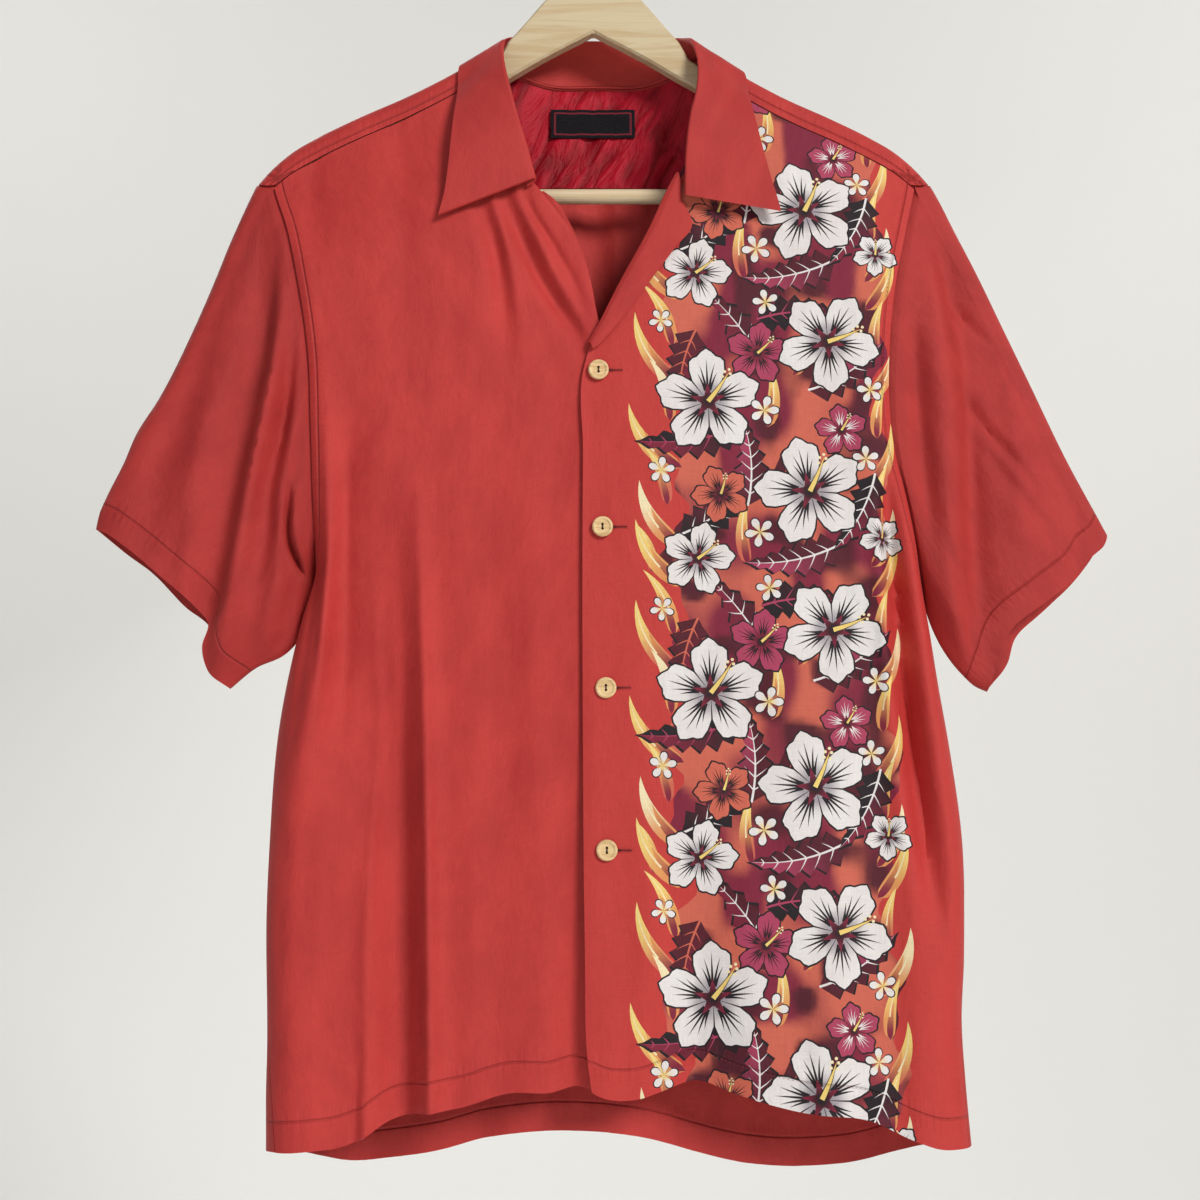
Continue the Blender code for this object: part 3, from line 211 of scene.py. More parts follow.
# The collar, from the wearer's right front end round the back to the wearer's left front end.
# share of the way along the neck seam; fold x, y, z; outer edge x, y, z
COLLAR = (
    (0.000, -39, -33, -228, -106, -35, -254),
    (0.058, -46, -34, -202, -102, -34, -236),
    (0.112, -52, -34, -182, -99.5, -33, -213),
    (0.168, -58, -30, -158, -97.5, -29, -185),
    (0.218, -62.5, -22, -136, -95.5, -20, -160),
    (0.268, -63.5, -6, -114, -95, -4, -137),
    (0.315, -58, 10, -103, -88, 17, -138),
    (0.368, -44, 25, -96.5, -64, 34, -147),
    (0.430, -22, 33, -94.5, -30, 42, -152),
    (0.495, 2, 36, -93.5, 2, 44, -152),
    (0.553, 26, 33, -95, 34, 42, -152),
    (0.609, 48, 25, -97, 68, 34, -147),
    (0.665, 63, 10, -104, 93, 17, -138),
    (0.705, 68.5, -6, -114, 106, -4, -140),
    (0.755, 73, -21, -136, 109, -20, -160),
    (0.800, 72, -30, -158, 112.5, -29, -182),
    (0.860, 67, -34, -181, 118, -34, -210),
    (0.915, 64, -35.5, -203, 123, -36, -231),
    (1.000, 62.5, -36, -240, 128.5, -37.5, -253),
)
RIGHT_END = ((-47, -233), (-49.5, -222))  # the seam's first points, on top of the front: x, height
LEFT_END = ((73.5, -212), (74.5, -238))  # its last points, on top of the turned-back front

# The turned-back edge of the wearer's left front, from the collar down to the first button.
# height along the roll; outer edge x, height
LAPEL = (
    (-222, 60.6, -231), (-230, 61, -242), (-246, 68, -260.5), (-263, 56, -277), (-283, 43, -295),
    (-303, 28, -316), (-322, 16, -332), (-336, 6, -344), (-344, 0, -349),
)

BUTTONS = ((3.7, -363), (6.4, -471), (8.6, -579), (9.2, -685))  # x, height

# ---------------------------------------------------------------- small tools


def smoothstep(u):
    u = np.clip(u, 0.0, 1.0)
    return u * u * (3 - 2 * u)


def through(rows, column, at, key=0):
    """The column's value at each place of the key column, on a smooth curve through the rows."""
    rows = sorted(rows, key=lambda row: row[key])
    knots = np.array([row[key] for row in rows], float)
    values = np.array([row[column] for row in rows], float)
    slopes = np.gradient(values, knots)
    at = np.clip(at, knots[0], knots[-1])
    i = np.clip(np.searchsorted(knots, at) - 1, 0, len(knots) - 2)
    span = knots[i + 1] - knots[i]
    u = (at - knots[i]) / span
    return (
        (2 * u**3 - 3 * u**2 + 1) * values[i]
        + (u**3 - 2 * u**2 + u) * span * slopes[i]
        + (3 * u**2 - 2 * u**3) * values[i + 1]
        + (u**3 - u**2) * span * slopes[i + 1]
    )


def curves(rows, columns, at):
    """The values of several columns at each place, side by side."""
    return np.stack([through(rows, k, at) for k in columns], axis=-1)


def spaced(ends, counts):
    """Places from the first end to the last, with that many steps between each two ends."""
    spans = [np.linspace(a, b, n, endpoint=False) for a, b, n in zip(ends, ends[1:], counts)]
    return np.concatenate([*spans, ends[-1:]])


def unit(vectors):
    return vectors / np.linalg.norm(vectors, axis=-1, keepdims=True)


def way_along(line):
    """How far along a line of points each of them lies."""
    return np.concatenate([[0], np.cumsum(np.linalg.norm(np.diff(line, axis=0), axis=1))])


def along(rows, at):
    """Rows at shares of the way along a smooth line, 0 to 1. A row's first three values are its place."""
    rows = np.array(rows, float)
    way = way_along(rows[:, :3])
    return curves(np.column_stack([way / way[-1], rows]), range(1, rows.shape[1] + 1), at)


def fold_depth(folds, x, z):
    """How far the folds push the cloth into the shirt at each x and z."""
    depth = np.zeros(np.broadcast(x, z).shape)
    for rows in folds.values():
        heights = [row[0] for row in rows]
        centre, width, deep = (through(rows, k, z) for k in (1, 2, 3))
        inside = (z <= max(heights)) | (rows[0][3] != 0)
        depth += np.where(inside, deep, 0) * np.exp(-(((x - centre) / width) ** 2))
    return depth


# ---------------------------------------------------------------- where the cloth lies


def ridge(x, steepness):
    """Height of the shoulder ridge, carried on as a cone inside the neck, round the neck's own centre."""
    out = np.abs(x - NECK_CENTRE * (1 - smoothstep((np.abs(x) - 80) / 80)))
    return through(RIDGE, 1, out) + steepness * np.maximum(NECK_HALF - out, 0)


def ridge_height(x):
    return ridge(x, 1.5)


def front_y(x, z):
    """The front panels' flat depth, before folds and side turns."""
    below = ridge_height(x) - z
    return -(SHOULDER_RADIUS + (FRONT_DEPTH - SHOULDER_RADIUS) * smoothstep(below / FRONT_SETTLES))


def back_y(x, z):
    below = ridge_height(x) - z
    near_neck = smoothstep(1 - np.abs(x - NECK_CENTRE) / 70) * smoothstep(1 + (z + 137) / 90)
    flat = SHOULDER_RADIUS + (BACK_DEPTH - SHOULDER_RADIUS) * smoothstep(below / BACK_SETTLES)
    return flat + NECK_BULGE * near_neck


def over_shoulder(a):
    """The angle by which cloth has turned, a over the ridge."""
    return np.clip(np.abs(a) / SHOULDER_RADIUS, 0, math.pi / 2)


def yoke_point(x, a):
    """A point of the yoke: a is the distance over the ridge, negative to the front."""
    turn = over_shoulder(a)
    flat = np.abs(a) - turn * SHOULDER_RADIUS
    z = ridge(x, 0.05) - SHOULDER_RADIUS * (1 - np.cos(turn)) - flat
    deep = np.where(a < 0, -front_y(x, z), back_y(x, z))
    y = SHOULDER_RADIUS * np.sin(turn) + (deep - SHOULDER_RADIUS) * smoothstep((np.abs(a) - 4) / 16)
    return np.stack([x, np.sign(a) * y, z], axis=-1)


def yoke_normal(x, a):
    """The outward normal of the yoke."""
    lean = over_shoulder(a)
    slope = (through(RIDGE, 1, np.abs(x) + 1) - through(RIDGE, 1, np.abs(x) - 1)) / 2 * np.sign(x)
    up = np.cos(lean)
    return unit(np.stack([-slope * up, np.sign(a) * np.sin(lean), up + 0 * x], axis=-1))


def side_at(side, panel, z):
    """Distance from the centre line and turn, in radians, where a panel ends at the side at height z."""
    front, underarm = FRONT_SIDES[side], UNDERARM[side]
    seam, turn = through(front, 1, z), through(front, 2, z)
    if panel == "back":
        drop = underarm - UNDERARM[-1]
        shift = through(front, 1, underarm) - BACK_ARMHOLE[-1][1]
        rows = []
        for height, out, bend in BACK_ARMHOLE:
            lower = drop * smoothstep((-height - 240) / 260)
            wider = shift * smoothstep((-height - 300) / 200) ** 1.5
            rows.append((height + lower, out + wider, bend))
        seam = np.where(z < underarm, seam, through(rows, 1, z))
        turn = np.where(z < underarm, -turn, through(rows, 2, z))
    return seam, np.radians(turn)


def section(side, panel, edge_x, q, z):
    """x, lean and fade at the share q of the way from a panel's inner edge to its side, at height z.

    The side's turn is a quarter of an ellipse, from the seam's own angle to where the panel is flat.
    """
    seam, turn = side_at(side, panel, z)
    extreme = seam + SIDE_RADIUS * (1 - np.cos(turn))
    arc = SIDE_RADIUS * (math.pi / 2 - turn)
    flat = extreme - SIDE_RADIUS - side * edge_x
    way = SIDE_GAP + (1 - q) * (arc + flat - SIDE_GAP)
    angle = turn + np.minimum(way, arc) / SIDE_RADIUS
    beyond = np.maximum(way - arc, 0)
    x = side * (extreme - SIDE_RADIUS * (1 - np.cos(angle)) - beyond)
    return x, np.sin(angle), smoothstep(way / 30)


def body_point(side, panel, edge_x, q, z, folds):
    x, lie, fade = section(side, panel, edge_x(z), q, z)
    if panel == "front":
        y = front_y(x, z) * lie + fold_depth(folds, x, z) * fade
    else:
        y = np.where(lie < 0, -front_y(x, z), back_y(x, z)) * lie - fold_depth(folds, x, z) * fade
    return np.stack([x, y, z], axis=-1)


def panel_normals(point, q, z, way):
    """Unit normals of a panel's surface. way is -1 for a front and 1 for the back."""
    across = point(q + 0.002, z) - point(q - 0.002, z)
    down = point(q, z + 0.5) - point(q, z - 0.5)
    normal = np.cross(across, down)
    return unit(normal * (np.sign(np.sum(normal[..., 1])) * way))


def lap_rise(side, x, z):
    """How far a front stands out (or in, if negative) near the lap, so that one lies over the other."""
    edge = through(FRONT_EDGES[side], 1, z)
    near = smoothstep((LAP_REACH - np.abs(x - edge)) / 40) * smoothstep((LAP_TOP - z) / 50)
    return near * (LAP_RISE if side > 0 else -LAP_DROP)


def lapped(side, points):
    return points - lap_rise(side, points[..., 0], points[..., 2])[..., None] * np.array([0, 1, 0])


def front_surface(side, x, z):
    """Depth of the outer face of a front away from its side, with its folds and the lap's rise."""
    folds = LEFT_FRONT_FOLDS if side > 0 else RIGHT_FRONT_FOLDS
    return front_y(x, z) + fold_depth(folds, x, z) - lap_rise(side, x, z)


def panel_heights(point, side, q, top, hem, above, below):
    """Heights of a panel's rows for each column, with so many rows above and below the underarm."""
    ends = []
    for line, z in ((top, -180.0), (hem, -860.0)):
        z = np.full_like(q, z)
        for _ in range(40):
            z = 0.5 * z + 0.5 * line(point(q, z)[..., 0])
        ends.append(z)
    first, last = ends
    last = last + (SIDE_HEM[side] - last) * smoothstep((q - 0.86) / 0.14)
    middle = -510 + (UNDERARM[side] + 510) * smoothstep(q)
    up = np.linspace(0, 1, above)[:, None]
    up = up - 0.05 * np.sin(2 * math.pi * up)
    down = np.linspace(0, 1, below)[1:, None]
    return np.concatenate([first + (middle - first) * up, middle + (last - middle) * down])


# ---------------------------------------------------------------- meshes


def grid_normals(points, closed):
    """Unit normals of a grid of points, pointing away from the body when the grid is wound that way."""
    if closed:
        around = np.roll(points, -1, axis=1) - np.roll(points, 1, axis=1)
    else:
        around = np.gradient(points, axis=1)
    return unit(np.cross(np.gradient(points, axis=0), around))


def hem_wall(z, hem):
    """The wall's thickness: that of a turned-up hem near the panel's lower edge."""
    return CLOTH + (HEM_WALL - CLOTH) * smoothstep((hem + HEM_HEIGHT + 3 - z) / 6)


def yoke_end(a):
    """Distance from the centre line of the yoke's end, at the distance a over the ridge."""
    front, behind = np.clip(-a / FRONT_YOKE, 0, 1), np.clip(a / BACK_YOKE, 0, 1)
    return YOKE_HALF_WIDTH - 15 * front**2 - 9 * behind**2


def neck_start(x):
    """The distance over the ridge at which the yoke begins, at the neck or at the front yoke seam."""
    neck = ((0, 22), (40, 20), (60, 14), (70, 7), (76, 0), (81, -12), (85, -FRONT_YOKE),
            (240, -FRONT_YOKE))  # from the neck's centre, over the ridge
    return np.maximum(through(neck, 1, np.abs(x - NECK_CENTRE)), -FRONT_YOKE)


def yoke_width(x, a):
    """How far across a yoke point lies, a over the ridge: its ends are drawn in to the armholes."""
    end = yoke_end(a) - SEAM_GAP - YOKE_STRAIGHT
    pulled = YOKE_STRAIGHT + (np.abs(x) - YOKE_STRAIGHT) * end / (YOKE_HALF_WIDTH - YOKE_STRAIGHT)
    return np.where(np.abs(x) > YOKE_STRAIGHT, np.sign(x) * pulled, x)


def yoke_limits(x):
    """The distances over the ridge between which the yoke lies at x."""
    low = yoke_width(x, BACK_YOKE + 0 * x)
    seam = through(BACK_YOKE_SEAM, 1, np.abs(low))
    top = yoke_point(low, np.zeros_like(low))[..., 2]
    return neck_start(x), top - seam - SHOULDER_RADIUS + SHOULDER_RADIUS * math.pi / 2


def armhole(side, panel, share):
    """Points and outward normals of the armhole, from the shoulder's ridge to the underarm."""
    way = -1 if panel == "front" else 1
    reach = FRONT_YOKE if panel == "front" else BACK_YOKE
    a = way * np.linspace(0, reach - 1, 7)
    over = yoke_point(side * yoke_end(a), a)
    lean = over_shoulder(a)
    over_normal = np.stack([0 * a, way * np.sin(lean), np.cos(lean)], axis=-1)
    z = np.linspace(over[-1, 2] - 4, UNDERARM[side], 24)
    down = body_point(side, panel, np.zeros_like, np.ones_like(z), z, {})
    turn = np.abs(side_at(side, panel, z)[1])
    down_normal = np.stack([side * np.cos(turn), way * np.sin(turn), 0 * z], axis=-1)
    both = np.hstack([np.concatenate([over, down]), np.concatenate([over_normal, down_normal])])
    made = along(both, share)
    return made[..., :3], made[..., 3:]


def sleeve_layer(side, sizes, panel, s, lengths, folds):
    """Points of a sleeve's front or back layer. s runs from its top fold to its bottom fold.

    The first two rows bring the sleeve's edge under the body's; the rest run evenly to the hem.
    """
    mirror = np.array([side, 1])
    hem = along(sizes[panel + " hem"], s) * mirror
    start, normal = armhole(side, panel, s)
    span = np.linalg.norm(hem - start[:, [0, 2]], axis=1)
    even = np.linspace(0, 1, lengths)[:, None]
    tuck = np.array([0, 3, 7])[:, None] / span
    t = np.concatenate([tuck, tuck[-1] + (1 - tuck[-1]) * even[1:]])
    ts, ss = t[..., None], s[None, :, None]

    def bend(line):
        ends = along(sizes[line], np.array([0.0, 1.0])) * mirror
        return along(sizes[line], t) * mirror - (1 - ts) * ends[0] - ts * ends[1]

    top, bottom = bend("top"), bend("bottom")
    plane = (1 - ts) * start[None][..., [0, 2]] + ts * hem[None] + (1 - ss) * top + ss * bottom
    out = unit(hem - start[:, [0, 2]])
    way = -1 if panel == "front" else 1
    lens = np.sqrt(np.clip(4 * s * (1 - s), 0, 1))
    y = (1 - t) * start[None, :, 1] + t * way * SLEEVE_HALF_DEPTH * lens
    x, z = plane[..., 0], plane[..., 1]
    fade = smoothstep((t - 0.03) / 0.2) * smoothstep(s * 7) * smoothstep((1 - s) * 7)
    y = y - way * fold_depth(folds, side * x, z) * fade
    points = np.stack([x, y, z], axis=-1)
    beyond = unit(np.cross(normal, np.gradient(start, axis=0)) * -way * side)
    square = np.clip(out[:, 0] * normal[:, 0] + out[:, 1] * normal[:, 2], 0, 1)[:, None]
    down = np.clip(-out[:, 0] * normal[:, 0] - out[:, 1] * normal[:, 2], 0, 1)[:, None]
    for row, flat, upright in ((0, (-1.2, -3.2), (1.7, -1.6)), (1, (2.2, -2.0), (1.5, 1.6))):
        along_edge = flat[0] + (upright[0] - flat[0]) * square - 1.3 * row * down
        off_body = flat[1] + (upright[1] - flat[1]) * square
        points[row] = start + beyond * along_edge + normal * off_body
    points[2] += beyond * square
    return points, t


def strip_section(seam, crown, edge, stand, fold, fall, half):
    """Points and normals across a folded strip, for each row of its seam, its fold and its outer edge."""
    up = unit(crown - (seam + edge) / 2)
    out = edge - seam
    out = unit(out - up * np.sum(out * up, axis=1, keepdims=True))
    inside = crown - (up + out) * half
    outside = crown - (up - out) * half

    def facing(line, way):
        share = np.sum(line * out * way, axis=1) / np.sum(line * line, axis=1)
        return unit(out * way - line * share[:, None])

    points = [seam + (inside - seam) * k / stand for k in range(stand)]
    normals = [facing(inside - seam, -1)] * stand
    for k in range(fold + 1):
        angle = math.pi * (1 - k / fold)
        normals.append(out * math.cos(angle) + up * math.sin(angle))
        points.append(crown - up * half + normals[-1] * half)
    points += [outside + (edge - outside) * k / fall for k in range(1, fall + 1)]
    normals += [facing(edge - outside, 1)] * fall
    return np.stack(points, axis=1), np.stack(normals, axis=1)


def neck_line(share):
    """The edge the collar is sewn to: points, outward normals, and unit vectors into the neck's hole."""
    rows = []

    def on_front(x, z, off=0.0):
        rows.append((x, float(front_y(x, z)) - off, z, 0, -1, 0))

    for x, z in RIGHT_END:
        on_front(x, z, 0.3)
    for z in np.linspace(-211, -150, 10):
        on_front(float(through(RIGHT_FRONT_EDGE, 1, z)), z)
    spans = ((-82.5, -60), (-52, 56), (64, 86.5))
    for x in np.concatenate([np.linspace(low, high, 12) for low, high in spans]):
        a = float(neck_start(x))
        lean = float(over_shoulder(a))
        rows.append((*yoke_point(x, a), 0, math.copysign(math.sin(lean), a), math.cos(lean)))
    for z in np.linspace(-150, -200, 9):
        on_front(float(through(LEFT_FRONT_EDGE, 1, z)), z)
    for x, z in LEFT_END:
        on_front(x, z, 2.6)
    line = along(rows, share)
    places, normals = line[:, :3], unit(line[:, 3:])
    into = np.cross(np.gradient(places, axis=0), normals)
    into *= np.sign(np.sum(into * (np.array([NECK_CENTRE, 0, -120]) - places), axis=1, keepdims=True))
    return places, normals, unit(into)


def clear_of_body(points, clearance):
    """Move points outwards until they stand clear of the yoke and the fronts."""
    x, y, z = (points[..., k].copy() for k in range(3))
    middle = through(RIDGE, 1, np.maximum(np.abs(x - NECK_CENTRE), NECK_HALF)) - SHOULDER_RADIUS
    high = z > middle
    reach = np.hypot(y, z - middle)
    need = np.where(high, np.maximum(SHOULDER_RADIUS + clearance - reach, 0), 0)
    push_y = need * y / reach
    push_z = need * (z - middle) / reach
    depth = np.where(y < 0, -front_y(x, z), back_y(x, z)) + clearance
    flat = np.where(high, 0, np.maximum(depth - np.abs(y), 0)) * np.sign(y)
    return np.stack([x, y + push_y + flat, z + push_z], axis=-1)


# ---------------------------------------------------------------- finer folds, on top of the solids' own

# For each: rows of height, x, half width, depth (positive into the shirt)
RIGHT_CREASES = {
    "shoulder shade": ((-170, -192, 7, 0.6), (-215, -196, 8, 1.6), (-270, -193, 9, 0.8),
        (-330, -190, 9, 0)),
    "chest shade": ((-175, -136, 10, 0.8), (-230, -134, 12, 1.4), (-320, -128, 14, 0.6),
        (-400, -122, 16, 0)),
    "long edge": ((-430, -119, 4, 0), (-560, -112, 4, -2.2), (-640, -109, 4, -3.0), (-720, -107, 4, -3.4),
        (-850, -104, 4.5, -2.6)),
    "long floor": ((-460, -130, 6, 0), (-560, -126, 6, 2.4), (-640, -124, 6, 3.6), (-720, -121, 6, 4.2),
        (-860, -118, 6, 3.4)),
    "side edge": ((-520, -147, 4, 0), (-600, -142, 4, -1.4), (-700, -146, 4, -1.6), (-850, -148, 4, -1.2)),
    "ridge line": ((-380, -181, 4, 0), (-440, -179, 4, -2.4), (-545, -179, 4, -3.2), (-600, -186, 5, -2.0),
        (-660, -192, 6, 0)),
    "soft shadow": ((-400, -168, 6, 0), (-450, -168, 6, 2.6), (-560, -167, 7, 3.2), (-640, -169, 8, 1.0)),
    "seam gully": ((-380, -187, 3, 0), (-430, -186, 3, 3.0), (-500, -187, 3, 4.0), (-560, -192, 4, 2.0),
        (-620, -198, 5, 0)),
    "notch": ((-770, -148, 4, 0), (-830, -151, 4, 1.6), (-860, -152, 4, 2.4)),
    "side ripple": ((-430, -187, 4, 0), (-500, -185, 4, 1.2), (-600, -186, 4, 1.0), (-680, -198, 5, 0)),
    "low ripple": ((-640, -170, 5, 0), (-720, -172, 5, 1.0), (-840, -176, 5, 0.8)),
    "middle shade": ((-330, -66, 14, 0), (-450, -70, 16, 1.2), (-600, -66, 18, 1.4), (-760, -62, 16, 0.8)),
    "middle ridge": ((-420, -38, 10, 0), (-560, -40, 12, -0.9), (-740, -36, 12, -1.1),
        (-840, -36, 12, -0.4)),
    "neck crease": ((-238, -47, 3, 1.6), (-254, -39, 3, 2.6), (-274, -27, 3.2, 2.6), (-302, -12, 3.4, 1.6),
        (-330, -4, 4, 0)),
    "neck ridge": ((-240, -53, 3.4, -1.2), (-269, -39, 4, -2.4), (-300, -24, 4, -2.4), (-326, -9, 4, -1.2),
        (-350, 0, 4, 0)),
    "collar ridge": ((-240, -70, 3.4, -1.2), (-273, -60, 4, -2.4), (-320, -52, 5, -1.0),
        (-370, -49, 6, 0)),
}
LEFT_CREASES = {
    "side ridge": ((-400, 189, 5, 0), (-450, 190, 5, -2.0), (-520, 193, 5, -3.4), (-600, 198, 6, -3.2),
        (-700, 208, 7, -1.2)),
    "side floor": ((-420, 198, 4, 0), (-450, 200, 5, 4.0), (-555, 208, 6, 7.0), (-620, 214, 6, 7.0),
        (-690, 221, 7, 5.0), (-760, 228, 8, 1.5)),
    "edge ripple": ((-640, 20, 8, 0), (-720, 22, 9, 1.1), (-830, 22, 9, 1.4)),
    "chest shade": ((-200, 128, 14, 0), (-300, 124, 16, 1.0), (-420, 118, 18, 0.8), (-520, 112, 18, 0)),
    "low ridge": ((-600, 104, 14, 0), (-700, 102, 15, -1.2), (-850, 104, 16, -1.8)),
    "low shade": ((-640, 168, 8, 0), (-740, 170, 9, 1.2), (-860, 172, 9, 1.4)),
    "hem ripple": ((-780, 136, 5, 0), (-830, 137, 5, 1.2), (-860, 137, 5, 1.2)),
}
BACK_CREASES = {
    "pleat fold": ((-216, -12, 2.0, 1.4), (-330, -12, 2.6, 1.0), (-460, -13, 5, 0)),
    "pleat fold 2": ((-216, 16, 2.0, 1.4), (-330, 16, 2.6, 1.0), (-460, 17, 5, 0)),
    "inner pleat": ((-216, 34, 5, 1.0), (-300, 35, 6, 1.4), (-420, 38, 8, 0)),
    "inner pleat 2": ((-216, -36, 5, 1.2), (-300, -36, 6, 1.2), (-420, -40, 8, 0)),
    "blade shade": ((-260, 100, 9, 0.6), (-360, 92, 12, 1.6), (-480, 84, 14, 0.4), (-560, 80, 14, 0)),
    "blade shade 2": ((-260, -96, 9, 0.6), (-380, -86, 12, 1.4), (-500, -80, 14, 0)),
    "waist ridge": ((-440, 64, 10, 0), (-600, 58, 12, -1.6), (-760, 62, 14, -2.0), (-890, 66, 14, -1.0)),
    "waist shade": ((-470, -60, 9, 0), (-620, -64, 11, 1.6), (-780, -60, 12, 2.0), (-890, -56, 12, 1.6)),
    "side crease": ((-520, 196, 5, 0), (-600, 200, 6, 1.6), (-720, 206, 6, 1.2), (-860, 204, 6, 0.6)),
    "side crease 2": ((-500, -176, 5, 0), (-590, -184, 6, 1.6), (-700, -190, 6, 1.0),
        (-860, -186, 6, 0.6)),
}
RIGHT_SLEEVE_CREASES = {
    "inner trough": ((-318, 203, 4, 0), (-345, 205, 5, 5.0), (-382, 209, 5.5, 9.0), (-416, 216, 6, 9.0),
        (-437, 221, 6, 7.5), (-472, 224, 7, 5.0), (-512, 231, 8, 1.5)),
    "inner ridge": ((-330, 200, 3, 0), (-360, 201, 4, -1.6), (-409, 205, 5, -2.6), (-440, 210, 5, -3.0),
        (-473, 212, 5, -3.0), (-509, 214, 6, -2.4), (-540, 220, 6, -1.2)),
    "ridge line": ((-244, 212, 4, 0), (-300, 211, 4, -2.6), (-346, 215, 4.5, -2.8), (-417, 228, 5, -2.8),
        (-509, 243, 6, -1.8), (-560, 250, 6, -0.6)),
    "trough wall": ((-236, 217, 3, 3.0), (-300, 221, 4, 4.4), (-346, 225, 4, 4.4), (-417, 238, 5, 4.0),
        (-509, 254, 6, 2.4), (-550, 262, 6, 1.0)),
    "flap": ((-438, 199, 5, 0), (-452, 199, 6, -4.0), (-478, 198, 6, -6.0), (-494, 195, 4, -3.0),
        (-502, 193, 4, 0)),
    "flap edge": ((-436, 206, 2, 0), (-450, 206, 2.2, 5.0), (-480, 205, 2.4, 8.0), (-495, 199, 2.4, 9.0),
        (-506, 194, 2.4, 4.0)),
    "outer shade": ((-300, 266, 14, 0), (-380, 284, 16, 4.0), (-450, 296, 16, 4.5), (-510, 300, 16, 2.0)),
    "outer ridge": ((-330, 258, 5, 0), (-400, 268, 7, -1.4), (-460, 276, 8, -1.4), (-520, 282, 8, 0)),
    "low shade": ((-430, 268, 8, 0), (-480, 282, 8, 2.0), (-520, 290, 8, 2.0)),
    "under edge": ((-505, 204, 4, 0), (-525, 206, 4, 5.0), (-545, 211, 4.5, 7.0), (-556, 222, 5, 6.0),
        (-566, 236, 5, 2.0)),
    "hem ripple": ((-500, 282, 3, 0), (-520, 284, 3, 1.0), (-545, 286, 3, 0.6)),
}
LEFT_SLEEVE_CREASES = {
    "diagonal": ((-290, 236, 4, 0), (-310, 250, 4, 2.2), (-330, 268, 4, 1.8), (-345, 284, 4, 0)),
    "diagonal 2": ((-360, 246, 4, 0), (-395, 268, 4.5, 3.4), (-425, 290, 4.5, 3.0), (-450, 308, 4, 0)),
    "diagonal 3": ((-400, 262, 5, 0), (-430, 280, 6, 2.4), (-462, 302, 6, 2.0), (-480, 316, 5, 0)),
    "inner trough": ((-240, 214, 4, 0), (-262, 214, 5, 3.0), (-320, 217, 6, 5.0), (-390, 222, 7, 6.0),
        (-460, 229, 7, 4.0), (-510, 236, 7, 0)),
    "upper trough": ((-236, 229, 4, 0), (-262, 238, 6, 3.6), (-300, 246, 8, 5.0), (-350, 252, 8, 4.0),
        (-400, 256, 8, 2.0)),
    "outer trough": ((-300, 256, 6, 0), (-350, 258, 7, 3.4), (-430, 259, 7, 4.4), (-510, 262, 8, 3.4),
        (-560, 266, 8, 1.4)),
    "edge band": ((-240, 244, 4, 0), (-300, 268, 5, 2.4), (-400, 309, 5, 2.6), (-450, 330, 5, 1.6)),
    "outer ridge": ((-330, 286, 6, 0), (-400, 290, 7, -1.4), (-470, 292, 7, -1.4), (-520, 296, 7, -0.4)),
    "under crease": ((-450, 232, 3, 0), (-500, 244, 4, 1.8), (-550, 256, 4, 1.8)),
}
BACK_SLEEVE_CREASES = {
    "elbow crease": ((-300, 262, 5, 0), (-360, 276, 6, 1.6), (-440, 300, 6, 1.0), (-490, 314, 6, 0)),
    "inner crease": ((-320, 224, 5, 0), (-400, 228, 6, 1.4), (-500, 244, 6, 1.0), (-560, 252, 6, 0.4)),
}


def creased(folds, fine):
    """A piece's folds together with the finer ones, under names of their own."""
    return {**folds, **{"fine " + key: rows for key, rows in fine.items()}}


CREASED_FRONTS = {
    1: creased(LEFT_FRONT_FOLDS, LEFT_CREASES),
    -1: creased(RIGHT_FRONT_FOLDS, RIGHT_CREASES),
}
CREASED_BACK = creased(BACK_FOLDS, BACK_CREASES)


def noise(x, y, seed):
    """Smooth noise between -1 and 1, with one bump to a unit. It is the same on every run."""
    i, j = np.floor(x), np.floor(y)
    u, v = smoothstep(x - i), smoothstep(y - j)

    def corner(a, b):
        value = np.sin((i + a) * 127.1 + (j + b) * 311.7 + seed * 74.7) * 43758.5453
        return 2 * (value - np.floor(value)) - 1

    top = corner(0, 0) * (1 - u) + corner(1, 0) * u
    low = corner(0, 1) * (1 - u) + corner(1, 1) * u
    return top * (1 - v) + low * v


def ripple(x, z, seed):
    """The uneven hang of light cloth: wide soft waves, more of them lower down, and a little crumple."""
    lower = 0.35 + 0.65 * smoothstep((-z - 240) / 380)
    waves = 1.1 * noise(x / 26, z / 210, seed) + 0.55 * noise(x / 13 + 7, z / 120, seed + 3)
    return lower * waves + 0.16 * noise(x / 6, z / 22, seed + 5) + 0.10 * noise(x / 3.4, z / 5, seed + 8)


# ---------------------------------------------------------------- materials


